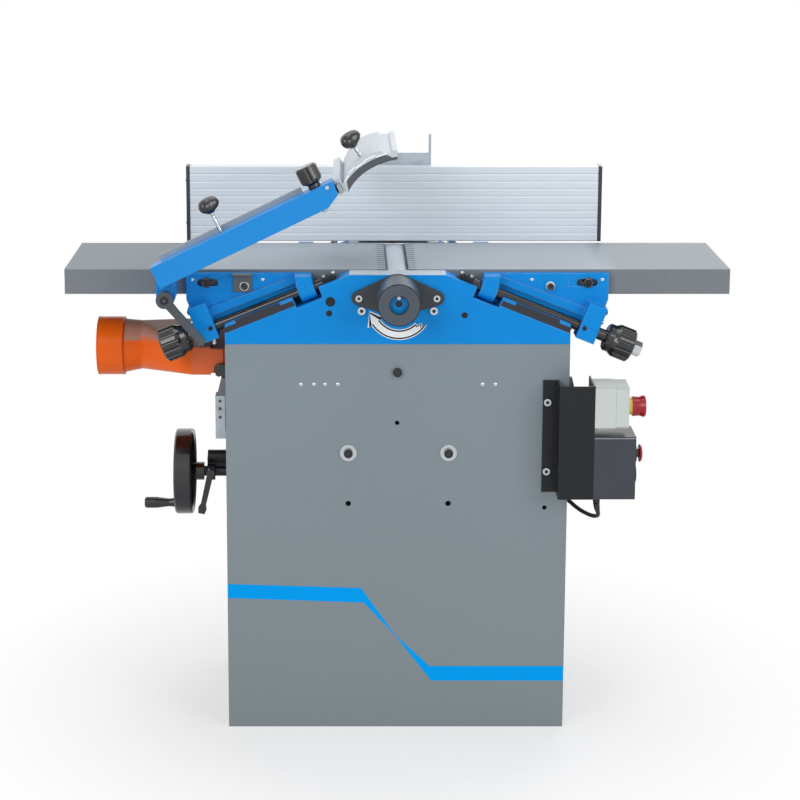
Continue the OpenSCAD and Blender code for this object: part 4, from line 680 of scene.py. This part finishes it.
# Each finish: its recipe, the part's nodes that wear it and what else the recipe takes. A word there is
# one of the paints
FINISHES = {
    "cabinet_grey": (
        cabinet_grey, "base_plate front_panel rear_panel left_panel right_panel rear_cover"),
    "casting_blue": (casting_blue, "front_frame rear_frame"),
    "plain_blue": (plain_blue, "guard_block fence_guide"),
    "filler_blue": (plain_blue, "", 0.0001),
    "bracket_blue_right": (bracket_blue, "infeed_brackets", 1),
    "bracket_blue_left": (bracket_blue, "outfeed_brackets", -1),
    "arm_blue": (arm_blue, "guard_arm"),
    "hood_orange": (hood_orange, "dust_hood"),
    "ground_table": (ground_table, "bed infeed_table outfeed_table"),
    "anodised_alloy": (anodised, "fence"),
    "rib_alloy": (anodised, "", linear(246, 249, 252)),
    "bridge_alloy": (bridge_alloy, "bridge"),
    "cutter_steel": (turned_steel, "bearings cutterblock", "steel", 1, 0.6),
    "roller_steel": (
        lambda name, p: turned_steel(name, p, shade(p.steel, 0.8), 1), "infeed_roller outfeed_roller"),
    "shaft_steel": (turned_steel, "wheel_shaft fence_carriage", "dark_steel", 0, 0.8, 0.3),
    "way_steel": (turned_steel, "way_strips kickback_fingers", "dark_steel", 2, 0.5, 0.38),
    "screw_steel": (turned_steel, "elevating_screw", "steel", 2),
    "pulley_iron": (cast_iron, "cutter_pulley motor_pulley", linear(72, 76, 80)),
    "housing_iron": (cast_iron, "lift_housing", linear(86, 94, 97)),
    "motor_paint": (cast_iron, "motor", "motor"),
    "plated_zinc": (plated, "housing_screws"),
    "galvanised_sheet": (galvanised, "bed_end_plates tilt_bracket"),
    "lever_enamel": (moulded, "guard_lever", "lever", 0.26, 0.0016),
    "black_sheet": (black_sheet, "rod_keepers feed_gearbox shaft_bush switch_bracket"),
    "cover_black": (cover_black, "shaft_cover"),
    "black_moulding": (
        moulded,
        "handwheel crank_handle bed_lock_lever arm_clamp_knob fence_lever hood_knobs start_button",
        "moulding", 0.16, 0.0012, GLOSSY),
    "cap_moulding": (lambda name, p: moulded(name, p, shade(p.switch_box, 0.9)), "fence_caps"),
    "stop_red": (moulded, "stop_button small_stop_button", "stop_red", 0.24),
    "arm_knob_black": (knob_black, "arm_bar_knob", PIVOT, ARM_TILT, 0.1016),
    "bridge_knob_black": (knob_black, "bridge_knob", KNOB_AXIS, KNOB_LEAN, 0.0192),
    "adjuster_black_right": (adjuster_black, "infeed_adjuster", 1),
    "adjuster_black_left": (adjuster_black, "outfeed_adjuster", -1),
    "stop_box_pale": (stop_box_pale, "stop_box"),
    "switch_box_dark": (switch_box_dark, "switch_box"),
    "soft_pad": (soft_pad, "bridge_pad"),
    "black_rubber": (rubber, "drive_belt"),
    "stripe_film": (printed, "", "stripe"),
    "arrow_white": (printed, "", "arrow"),
    "arrow_black": (printed, "", linear(24, 26, 30)),
    "recess_dark": (recess, ""),
}


def coat(name):
    """The material of that name, made when it is first asked for."""
    if name in bpy.data.materials:
        return bpy.data.materials[name]
    paints = bpy.context.scene.planer_paints
    recipe, _, *more = FINISHES[name]
    more = [getattr(paints, what) if isinstance(what, str) else what for what in more]
    return recipe(name, paints, *more)


def stand(name, data):
    """A new object in the scene."""
    made = bpy.data.objects.new(name, data)
    bpy.context.scene.collection.objects.link(made)
    return made


def piece(name, body, finish, forms, bevel=0.0, smooth=36):
    """Makes a piece that rides on a body. Each form is its rings of points, and whether both ends are
    closed or the last ring joins the first."""
    bm = bmesh.new()
    for rings, close in forms:
        made = [[bm.verts.new(p) for p in ring] for ring in rings]
        for low, high in zip(made, made[1:] + ([] if close else made[:1])):
            for k in range(len(low)):
                j = (k + 1) % len(low)
                bm.faces.new((low[k], low[j], high[j], high[k]))
        if close:
            bm.faces.new(made[0][::-1])
            bm.faces.new(made[-1])
    bmesh.ops.recalc_face_normals(bm, faces=bm.faces)
    mesh = bpy.data.meshes.new(name)
    bm.to_mesh(mesh)
    bm.free()
    made = stand(name, mesh)
    mesh.materials.append(coat(finish))
    for face in mesh.polygons:
        face.use_smooth = True
    mesh.set_sharp_from_angle(angle=math.radians(smooth))
    if bevel:
        edge = made.modifiers.new("Eased edges", "BEVEL")
        edge.width, edge.segments, edge.limit_method = bevel, 2, "ANGLE"
        edge.harden_normals = True
    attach(made, body)
    return made


def facing(at, direction):
    """A place whose Z points along direction."""
    turn = Vector(UP).rotation_difference(Vector(direction)).to_matrix().to_4x4()
    return Matrix.Translation(Vector(at)) @ turn


def turned(at, direction, rows, sides=24, close=True):
    """A turned form, or an open ring. A row is a radius and a height in millimetres, and a third entry
    where it is a hexagon."""
    place = facing(at, direction)
    rings = []
    for row in rows:
        ring = []
        for k in range(sides):
            a = 2 * math.pi * k / sides
            r = row[0] * MM
            if len(row) > 2:
                r *= math.cos(math.pi / 6) / math.cos((a % (math.pi / 3)) - math.pi / 6)
            ring.append(place @ Vector((r * math.cos(a), r * math.sin(a), row[1] * MM)))
        rings.append(ring)
    return rings, close


def cap_screw(at, direction, r, h):
    """Socket head screw standing on a face."""
    return turned(at, direction, [
        (r, 0), (r, h * 0.86), (r * 0.9, h), (r * 0.62, h), (r * 0.56, h * 0.96, "hex"),
        (r * 0.56, h * 0.4, "hex")])


def dome_head(at, direction, r, h):
    """Low round head, of a rivet or a pressed pin."""
    return turned(at, direction, [
        (r, 0), (r * 0.98, h * 0.35), (r * 0.8, h * 0.75), (r * 0.5, h * 0.96), (r * 0.3, h),
        (r * 0.24, h * 0.7)])


def sunk_screw(at, direction, r):
    """Grub screw level with the face around it."""
    return turned(at, direction, [
        (r, -1), (r, 0.5), (r * 0.84, 0.9), (r * 0.56, 0.9), (r * 0.48, 0.7, "hex"),
        (r * 0.46, 0.2, "hex")])


def hex_nut(at, direction, r, h, bore=0.5):
    """Hexagon nut with eased corners."""
    return turned(at, direction, [
        (r, 0, "hex"), (r, h * 0.84, "hex"), (r * 0.84, h), (r * bore * 1.12, h), (r * bore, h * 0.94),
        (r * bore, h * 0.5)])


def sheet(outline, y0, y1):
    """Flat form drawn in X and Z, between two depths."""
    return [[Vector((x, y, z)) for x, z in outline] for y in (y0, y1)], True


def block(low, high):
    """Block between two corners."""
    (x0, y0, z0), (x1, y1, z1) = low, high
    return [[Vector((x, y, z)) for x, y in ((x0, y0), (x1, y0), (x1, y1), (x0, y1))]
            for z in (z0, z1)], True


def on_rod(s, n, y, side=1):
    """A point by its distance down a rod and above it."""
    return Vector((
        side * (ROD_TOP[0] + s * math.cos(SLOPE) + n * math.sin(SLOPE)), y,
        ROD_TOP[1] - s * math.sin(SLOPE) + n * math.cos(SLOPE)))


def on_arm(u, y, v):
    """A point by its distance along and above the guard arm."""
    return Vector((
        PIVOT[0] + u * math.cos(ARM_TILT) - v * math.sin(ARM_TILT), y,
        PIVOT[1] + u * math.sin(ARM_TILT) + v * math.cos(ARM_TILT)))


class PLANER_OT_camera(Operator):
    """Sets the camera where the photograph was taken from"""

    bl_idname = "planer.camera"
    bl_label = "Camera"

    def execute(self, context):
        lens = bpy.data.cameras.new("photo_camera")
        lens.sensor_width, lens.lens, lens.clip_end = 36, context.scene.planer_studio.lens, 60
        lens.shift_x, lens.shift_y = CAMERA_SHIFT
        camera = stand("photo_camera", lens)
        camera.location = mm(*CAMERA_AT)
        camera.rotation_euler = (math.radians(90) - CAMERA_DOWN, 0, 0)
        context.scene.camera = camera
        return {"FINISHED"}


def cable_line(name, points, diameter):
    """A cable as one smooth open curve."""
    curve = bpy.data.curves.new(name, "CURVE")
    curve.dimensions, curve.use_fill_caps = "3D", True
    curve.bevel_depth, curve.bevel_resolution, curve.resolution_u = diameter / 2, 5, 8
    spline = curve.splines.new("BEZIER")
    spline.bezier_points.add(len(points) - 1)
    for at, p in zip(spline.bezier_points, points):
        at.co = p
        at.handle_left_type = at.handle_right_type = "AUTO"
    line = stand(name, curve)
    curve.materials.append(coat("black_rubber"))
    return line


def sleeve(points, reach, r0, r1, steps=22, sides=20):
    """Tapered sleeve with ribs that follows the first stretch of a cable."""
    rings = []
    for k in range(steps + 1):
        left = reach * k / steps
        for a, b in zip(points, points[1:]):
            if left <= (b - a).length:
                break
            left -= (b - a).length
        along = (b - a).normalized()
        rib = 0.0005 if k % 4 < 2 and 2 < k < steps - 2 else 0.0
        r = r0 + (r1 - r0) * k / steps + rib
        place = facing(a + along * left, along)
        rings.append([place @ Vector((r * math.cos(t), r * math.sin(t), 0))
                      for t in (2 * math.pi * j / sides for j in range(sides))])
    return rings, True


class PLANER_OT_cables(Operator):
    """Lays the two switch cables, with their strain reliefs and grommets"""

    bl_idname = "planer.cables"
    bl_label = "Switch cables"

    def execute(self, context):
        sizes = context.scene.planer_sizes
        for name, route in (("loop", LOOP_ROUTE), ("back", BACK_ROUTE)):
            points = [mm(*p) for p in route]
            line = cable_line(f"switch_cable_{name}", points, sizes.cable)
            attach(line, "machine")
            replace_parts(line, "switch_cables")
            relief = piece(f"cable_relief_{name}", "machine", "black_rubber", [
                sleeve(points, sizes.relief, 0.0064, sizes.cable / 2 + 0.0006)])
        ring = [(8.5, -0.1), (8.8, 1), (8, 2), (5.6, 2.2), (4.9, 1.4), (4.9, -0.1)]
        piece("cable_grommets", "machine", "black_rubber", [
            turned((0.3041, y, z), RIGHT, ring, 28, False)
            for y, z in ((-0.12, 0.4248), (-0.085, 0.454))])
        return {"FINISHED"}


class PLANER_OT_finishes(Operator):
    """Gives every solid of the part its paint, metal or moulding"""

    bl_idname = "planer.finishes"
    bl_label = "Paints and metals"

    def execute(self, context):
        for name, (_, nodes, *_) in FINISHES.items():
            for node in nodes.split():
                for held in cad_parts[node].material_slots:
                    held.link = "OBJECT"
                    held.material = coat(name)
        return {"FINISHED"}


class PLANER_OT_stripe(Operator):
    """Lays the stepped stripe across the front panel"""

    bl_idname = "planer.stripe"
    bl_label = "Stripe"

    def execute(self, context):
        outline = [mm(*p) for p in (
            (-306.6, 275.6), (-64.3, 267.9), (-2.0, 178.6), (61.5, 117.7), (306.6, 117.7),
            (306.6, 89.5), (64.5, 89.5), (-2.0, 176.8), (-59.2, 240.2), (-306.6, 248.8))]
        film = context.scene.planer_sizes.decal
        piece("cabinet_stripe", "machine", "stripe_film", [sheet(outline, FRONT_Y, FRONT_Y - film)])
        return {"FINISHED"}


def arrow_point(angle, reach):
    """A point by its angle and distance from the middle of the turning arrow."""
    return Vector(ARROW_AT) + Vector((math.cos(angle), math.sin(angle))) * reach


def arrow_outline(inset, count=26):
    """Arrow bent round the shaft cover, drawn in X and Z, taken in by an inset."""
    inner, outer = 0.04 + inset, 0.059 - inset
    tail, neck = math.radians(-44) - inset / 0.05, math.radians(-146) - inset / 0.05 * 0.2
    tip = math.radians(-173) + inset * 22
    wide = 0.0085 - inset * 1.2
    sweep = [tail + (neck - tail) * k / count for k in range(count + 1)]
    rim = [arrow_point(a, outer) for a in sweep]
    hole = [arrow_point(a, inner) for a in reversed(sweep)]
    point = [arrow_point(neck, outer + wide), arrow_point(tip, 0.053), arrow_point(neck, inner - wide)]
    zigzag = [arrow_point(tail + turn, outer + (inner - outer) * part)
              for turn, part in ((-0.02, 0.75), (0.16, 0.5), (0.07, 0.28), (0.2, 0.02))]
    return rim + point + hole + zigzag


class PLANER_OT_arrow(Operator):
    """Lays the turning arrow under the shaft cover"""

    bl_idname = "planer.arrow"
    bl_label = "Turning arrow"

    def execute(self, context):
        film = context.scene.planer_sizes.decal * 0.8
        for layer, (name, inset, finish) in enumerate((
                ("arrow_border", 0.0, "arrow_white"), ("arrow_line", 0.0016, "arrow_black"),
                ("arrow_fill", 0.0042, "arrow_white")), 1):
            form = sheet(arrow_outline(inset), FRONT_Y, FRONT_Y - film * layer)
            piece(name, "machine", finish, [form])
        return {"FINISHED"}


class PLANER_OT_panel_fittings(Operator):
    """Sets the rivets in the front panel"""

    bl_idname = "planer.panel_fittings"
    bl_label = "Panel rivets"

    def execute(self, context):
        piece("panel_rivets", "machine", "plated_zinc", [
            dome_head((x * MM, FRONT_Y, 0.6495), FORWARD, 3.4, 1.2)
            for x in (-172, -149, -129, -106, 152, 175)])
        return {"FINISHED"}


class PLANER_OT_casting_fittings(Operator):
    """Sets the plugs and grub screws in the castings, the screws of the rod keepers, and painted shade
    in the sockets of the screws
    """

    bl_idname = "planer.casting_fittings"
    bl_label = "Casting fittings"

    def execute(self, context):
        piece("casting_grub_screws", "machine", "black_sheet", [
            sunk_screw((x * MM, FRONT_Y, z * MM), FORWARD, r)
            for x, z, r in ((-119.3, 800.3, 8.7), (-121.6, 779.3, 5.5), (118.7, 775.9, 5.5))])
        piece("keeper_screws", "machine", "plated_zinc", [
            cap_screw(on_rod(s, 0.0098, y, side), (side * math.sin(SLOPE), 0, math.cos(SLOPE)),
                      3.6, 3.4)
            for side in (-1, 1) for y in (-ROD_Y, ROD_Y) for s in (-0.0235, -0.0055)])
        heads = (
            (69, -183, 807.5, 3.2), (-69, -183, 807.5, 3.2), (64, -180, 784.5, 3.6),
            (-64, -180, 784.5, 3.6), (0, -180, 672, 4.4), (-87.5, -182, 523, 4.4),
            (92.5, -182, 523, 4.4), (268, -182, 490, 3.6), (268, -182, 618, 3.6))
        # Dark hexagons in the sockets of the screws: painted shade.
        piece("screw_sockets", "machine", "recess_dark", [
            turned(mm(x, y, z), FORWARD, [(r, 0, "hex"), (r, 1.12, "hex"), (r * 0.8, 1.16, "hex")])
            for x, y, z, r in heads])
        return {"FINISHED"}


class PLANER_OT_shaft_plug(Operator):
    """Sets the plug seen inside the shaft cover, with painted shade in its bore, and its screw"""

    bl_idname = "planer.shaft_plug"
    bl_label = "Shaft plug"

    def execute(self, context):
        at = (0, -0.247, CUTTER_Z)
        piece("shaft_plug", "machine", "plain_blue", [
            turned(at, FORWARD, [(33.4, 0), (33.4, 4), (7, 4), (6, 3.2), (6, 0.4)], 48, False)])
        # Dark disc in the bore: painted shade.
        piece("shaft_plug_bore", "machine", "recess_dark", [
            turned(at, FORWARD, [(7.9, 0.4), (7.9, 0.8), (4, 0.9)], 32)])
        piece("shaft_plug_screw", "machine", "plated_zinc", [
            cap_screw((0, -0.2509, CUTTER_Z + 0.0108), FORWARD, 3.6, 2)])
        return {"FINISHED"}


def slot_end(side, depth, end, middle, turn):
    """Filler for the inner end of a bracket's slot, round where the slot starts."""
    arc = [(middle + turn * SLOT_END * math.cos(a), NUT[1] + SLOT_END * math.sin(a))
           for a in (math.pi * (k / 14 - 0.5) for k in range(15))]
    outline = [(end, NUT[1] - SLOT_END)] + arc + [(end, NUT[1] + SLOT_END)]
    return sheet([(side * x, z) for x, z in outline], depth * 0.1312, depth * 0.141)


class PLANER_OT_bracket_fittings(Operator):
    """Sets the pins, clamp screws, set screws and slot ends of the table brackets"""

    bl_idname = "planer.bracket_fittings"
    bl_label = "Bracket fittings"

    def execute(self, context):
        for side, name, body in ((1, "right", "infeed"), (-1, "left", "outfeed")):
            down = (side * math.cos(SLOPE), 0, -math.sin(SLOPE))
            piece(f"bracket_pins_{name}", body, "plated_zinc", [
                dome_head((side * x, y, 0.8335), (0, y, 0), 3, 0.8)
                for y in (-0.141, 0.141) for x in (0.24, 0.3655)])
            piece(f"bracket_set_screws_{name}", body, "black_sheet", [
                cap_screw(on_rod(0.2398, 0.04, y, side), down, 4, 4) for y in (-0.155, 0.155)] + [
                sunk_screw(on_rod(0.214, 0.002, y * 0.171, side), (0, y, 0), 4.2) for y in (-1, 1)])
            piece(f"bracket_clamp_screws_{name}", body, "plated_zinc", [
                cap_screw(on_rod(0.2398, 0.022, y, side), down, 4, 4.4) for y in (-0.155, 0.155)])
            piece(f"bracket_slot_ends_{name}", body, "filler_blue", [
                slot_end(side, y, *shape)
                for y in (-1, 1) for shape in ((0.3055, 0.326, -1), (0.3575, 0.351, 1))])
        return {"FINISHED"}


class PLANER_OT_stop_plate(Operator):
    """Sets the stop plate of the left bracket with its washer, and the clamp under the left rod"""

    bl_idname = "planer.stop_plate"
    bl_label = "Left stop plate"

    def execute(self, context):
        piece("left_stop_plate", "outfeed", "housing_iron", [
            block(mm(-293, -144.6, 811.5), mm(-259, -141, 843)),
            block(mm(-293.6, -157, 842.4), mm(-258.4, -141, 845.6))], 0.0006)
        piece("stop_plate_washer", "outfeed", "plated_zinc", [
            turned((-BOLT[0], -0.1444, BOLT[1]), FORWARD, [
                (6.6, 0), (8.6, 0), (8.8, 0.8), (8, 1.6), (6.8, 1.6)], 32, False)])
        piece("left_rod_clamp", "outfeed", "plated_zinc", [
            turned(on_rod(0.216, -0.0175, -ROD_Y, -1), DOWN, [
                (4.5, 0), (4.5, 4), (3.8, 4.2), (3.8, 8), (4.6, 8.5), (4.6, 12.5), (3.6, 13.8)])])
        return {"FINISHED"}


def star_knob(name, node, body, finish, foot, up, neck, count=48):
    """Star-shaped clamping knob on its steel stem, in place of the plain one. A row is a radius and a
    height in millimetres, and how far the three lobes swell."""
    place = facing(foot, up)
    rows = [(3.2, 0.2, 0), (3.2, neck - 5.8, 0), (7.0, neck - 5.4, 0), (8.6, neck - 3.4, 0),
            (12, neck - 1.4, 0.05), (15.6, neck + 1.6, 0.12), (17.8, neck + 6, 0.17),
            (18.4, neck + 10.5, 0.19), (17.6, neck + 15, 0.17), (15.2, neck + 19, 0.12),
            (11, neck + 21.7, 0.05), (5, neck + 22.8, 0), (1, neck + 23, 0)]
    turns = [2 * math.pi * k / count for k in range(count)]
    rings = [[place @ mm(r * (1 + lobe * math.cos(3 * a)) * math.cos(a),
                         r * (1 + lobe * math.cos(3 * a)) * math.sin(a), h) for a in turns]
             for r, h, lobe in rows]
    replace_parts(piece(name, body, finish, [(rings, True)], smooth=50), node)


class PLANER_OT_star_knobs(Operator):
    """Turns the two star knobs of the guard with their stems"""

    bl_idname = "planer.star_knobs"
    bl_label = "Star knobs"

    def execute(self, context):
        up = on_arm(0, 0, 1) - on_arm(0, 0, 0)
        star_knob("arm_star_knob", "arm_bar_knob", "bar_knob", "arm_knob_black",
                  on_arm(0.143, -0.206, 0.0494), up, 58)
        up = Vector((-math.sin(KNOB_LEAN), 0, math.cos(KNOB_LEAN)))
        foot = Vector((RAIL[0] + 0.033, -0.176, RAIL[1] + 0.073)) - up * 0.02
        star_knob("bridge_star_knob", "bridge_knob", "bridge_screw", "bridge_knob_black", foot, up, 45)
        return {"FINISHED"}


class PLANER_OT_guard_fittings(Operator):
    """Sets the screws of the guard arm and the socket of its lever"""

    bl_idname = "planer.guard_fittings"
    bl_label = "Guard fittings"

    def execute(self, context):
        down = on_arm(0, 0, 0) - on_arm(0, 0, 1)
        piece("arm_screws", "arm", "plated_zinc", [
            cap_screw(on_arm(0.345, -0.226, 0.0565), FORWARD, 3.4, 2.2),
            hex_nut(on_arm(0.325, -0.206, 0.0236), down, 7.8, 5.2)])
        piece("lever_screw", "arm_lever", "black_sheet", [
            turned((PIVOT[0], -0.2178, PIVOT[1]), FORWARD, [
                (6.9, 0), (6.9, 0.9), (6, 1.2), (4, 1.2), (3.6, 0.8, "hex"), (3.6, -0.8, "hex")])])
        return {"FINISHED"}


def bend(points, count=40):
    """Points along the curve that three points pull."""
    a, b, c = points
    return [tuple((1 - t) ** 2 * a[i] + 2 * t * (1 - t) * b[i] + t * t * c[i] for i in range(2))
            for t in (k / count for k in range(count + 1))]


def bridge_ends(outline, proud):
    """An outline in millimetres from the bridge's rail, as thin sheets on both ends of the bridge."""
    outline = [Vector((RAIL[0] + x * MM, RAIL[1] + z * MM)) for x, z in outline]
    return [sheet(outline, y, y + out) for y, out in zip(BRIDGE_ENDS, (-proud, proud))]


class PLANER_OT_bridge_profile(Operator):
    """Shows the ribs in both ends of the bridge, under its alloy skin, and paints shade into the
    hollows between them
    """

    bl_idname = "planer.bridge_profile"
    bl_label = "Bridge profile"

    def execute(self, context):
        skins = list(zip(bend([(0, 18), (13, 90), (97, 86)]), bend([(11, 12), (33, 58), (97, 70)])))

        def between(k, lift, most, ease=1.0):
            """A point of the lower skin lifted towards the upper, by at most a share of the gap."""
            (x1, z1), (x0, z0) = skins[k]
            share = min(most, lift / math.hypot(x1 - x0, z1 - z0)) * ease
            return x0 + (x1 - x0) * share, z0 + (z1 - z0) * share

        cavity_span = range(2, 38)
        upper = [between(k, 12.5, 0.72, math.sin(math.pi * min(1.0, (k - 1.5) / 5, (38.5 - k) / 5) / 2))
                 for k in cavity_span]
        lower = [between(k, math.inf, 0.03) for k in reversed(cavity_span)]
        # Grey sheets on both ends, where the hollow inside of the extrusion shows: painted shade.
        piece("bridge_core", "bridge_group", "soft_pad", bridge_ends(upper + lower, 0.0003))
        forms = []
        for first, last, lift in (
                (3, 9, 14), (9, 15, 17), (15, 22, 14.4), (22, 29, 16.4), (29, 35, 13)):
            rib = range(first, last + 1)
            forms += bridge_ends([between(k, lift + 2.2, 0.9) for k in rib] +
                                 [between(k, lift, 0.9) for k in reversed(rib)], 0.0004)
        piece("bridge_ribs", "bridge_group", "rib_alloy", forms)
        return {"FINISHED"}


class PLANER_OT_fence_fittings(Operator):
    """Sets the screws in the fence's end caps and the bolts of its tilt bracket"""

    bl_idname = "planer.fence_fittings"
    bl_label = "Fence fittings"

    def execute(self, context):
        piece("cap_screws", "fence_group", "cap_moulding", [
            dome_head((side * 0.395, 0.1465, z), (side, 0, 0), 3.6, 1.8)
            for side in (-1, 1) for z in (0.8867, 0.9678)])
        piece("web_screws", "fence_group", "plated_zinc", [
            cap_screw((x, 0.164, z), (0, 1, 0), 5, 5)
            for x in (-0.045, 0.045) for z in (0.905, 0.975)])
        return {"FINISHED"}


class PLANER_OT_hood_fittings(Operator):
    """Rolls the lip of the dust port and the bead behind it"""

    bl_idname = "planer.hood_fittings"
    bl_label = "Port lip"

    def execute(self, context):
        lip = [(51.2, 0.6), (52.2, 0), (53.6, 0.4), (54.6, 1.6), (54.6, 3), (53.9, 4), (51.2, 4)]
        bead = [(53.4, -1), (53.8, -0.4), (54.6, 1.2), (53.8, 2.6), (53, 3), (53, -1.2)]
        piece("port_lip", "hood", "hood_orange", [
            turned((x, 0, PORT_Z), RIGHT, rows, 64, False)
            for x, rows in ((-0.5512, lip), (-0.505, bead))])
        return {"FINISHED"}


class PLANER_OT_switch_fittings(Operator):
    """Sets the lid screws of the switch boxes and the nut of the cable gland"""

    bl_idname = "planer.switch_fittings"
    bl_label = "Switch fittings"

    def execute(self, context):
        head = [(3, 0), (3, 0.3), (2.4, 0.6), (1.2, 0.6), (1, 0.2)]
        piece("stop_box_screws", "machine", "stop_box_pale", [
            turned((STOP_FACE, y, z), RIGHT, head, 16)
            for y in (-0.2185, -0.1655) for z in (0.587, 0.65)])
        piece("switch_box_screws", "machine", "black_sheet", [
            cap_screw((SWITCH_FACE, y, z), RIGHT, 2.8, 1)
            for y in (-0.2175, -0.1535) for z in (0.459, 0.558)])
        piece("gland_nut", "machine", "black_moulding", [
            hex_nut((0.358, -0.19, 0.4508), DOWN, 10.2, 4.2, 0.62)])
        return {"FINISHED"}


def lamp(name, at, power, width, depth, aim=(0, 0, 0.6)):
    """A large soft lamp that looks at a point."""
    light = bpy.data.lights.new(name, "AREA")
    light.shape, light.energy = "RECTANGLE", power
    light.size, light.size_y = width, depth
    holder = stand(name, light)
    holder.location = at
    holder.rotation_euler = (Vector(aim) - Vector(at)).to_track_quat("-Z", "Y").to_euler()


class PLANER_OT_studio(Operator):
    """Lays the pale floor and hangs the lamps and the white surround"""

    bl_idname = "planer.studio"
    bl_label = "Studio"

    def execute(self, context):
        studio = context.scene.planer_studio
        bm = bmesh.new()
        bmesh.ops.create_circle(bm, cap_ends=True, radius=3.2, segments=96)
        mesh = bpy.data.meshes.new("studio_floor")
        bm.to_mesh(mesh)
        bm.free()
        stand("studio_floor", mesh)
        f = Finish("studio_floor", tone=studio.floor)
        mesh.materials.append(f.done(0.6))
        glow = f.add("ShaderNodeEmission", inputs={"Color": WHITE, "Strength": 1.0})
        reach = f.add("ShaderNodeVectorMath", {"operation": "LENGTH"}, {0: f.place}, "Value")
        seen = f.add("ShaderNodeLightPath", output="Is Camera Ray")
        fade = seen * (0.55 + 0.45 * f.ramp(reach, 0.4, 0.85))
        f.feed(f.sheet.inputs[0], f.add("ShaderNodeMixShader", inputs={0: fade, 1: f.skin, 2: glow}))

        lamp("key_lamp", (-2.4, -3.4, 2.6), studio.key, 2.4, 2.0)
        lamp("fill_lamp", (2.8, -3.0, 2.0), studio.fill, 2.2, 2.0)
        lamp("top_lamp", (0.2, 0.2, 3.4), studio.top, 3.0, 2.0)
        lamp("back_lamp", (1.4, 3.4, 2.4), studio.back, 2.2, 1.6, (0, 0, 0.7))

        world = context.scene.world = bpy.data.worlds.new("studio_surround")
        w = Nodes(world)
        seen, gloss, through = (w.add("ShaderNodeLightPath", output=f"Is {ray} Ray")
                                for ray in ("Camera", "Glossy", "Transmission"))
        even, white = (w.add("ShaderNodeBackground", inputs={0: WHITE, 1: strength})
                       for strength in (studio.ambient, 1.0))
        both = w.add("ShaderNodeMixShader", inputs={0: seen | gloss | through, 1: even, 2: white})
        w.add("ShaderNodeOutputWorld", inputs={0: both})
        context.scene.view_settings.view_transform = "Standard"
        return {"FINISHED"}


OPERATORS = (
    PLANER_OT_camera, PLANER_OT_cables, PLANER_OT_finishes, PLANER_OT_stripe, PLANER_OT_arrow,
    PLANER_OT_panel_fittings, PLANER_OT_casting_fittings, PLANER_OT_shaft_plug,
    PLANER_OT_bracket_fittings, PLANER_OT_stop_plate, PLANER_OT_guard_fittings, PLANER_OT_star_knobs,
    PLANER_OT_bridge_profile, PLANER_OT_fence_fittings, PLANER_OT_hood_fittings,
    PLANER_OT_switch_fittings, PLANER_OT_studio)
GROUPS = {"planer_paints": PlanerPaints, "planer_sizes": PlanerSizes, "planer_studio": PlanerStudio}


class PLANER_PT_dress(Panel):
    """Lists the colours, the sizes and the steps"""

    bl_label = "Planer thicknesser"
    bl_space_type = "VIEW_3D"
    bl_region_type = "UI"
    bl_category = "Planer"

    def draw(self, context):
        for name in GROUPS:
            group = getattr(context.scene, name)
            box = self.layout.box()
            for key in group.__annotations__:
                box.prop(group, key)
        for step in OPERATORS:
            self.layout.operator(step.bl_idname)


def register():
    """Registers the groups, the operators and the panel."""
    for name, group in GROUPS.items():
        bpy.utils.register_class(group)
        setattr(bpy.types.Scene, name, PointerProperty(type=group))
    for kind in (*OPERATORS, PLANER_PT_dress):
        bpy.utils.register_class(kind)


def unregister():
    """Takes back what register made."""
    for kind in (PLANER_PT_dress, *reversed(OPERATORS)):
        bpy.utils.unregister_class(kind)
    for name, group in GROUPS.items():
        delattr(bpy.types.Scene, name)
        bpy.utils.unregister_class(group)


def main():
    """Dresses the part step by step."""
    register()
    for step in OPERATORS:
        getattr(bpy.ops.planer, step.bl_idname.split(".")[1])()
    bpy.context.view_layer.update()


if __name__ == "__main__":
    main()
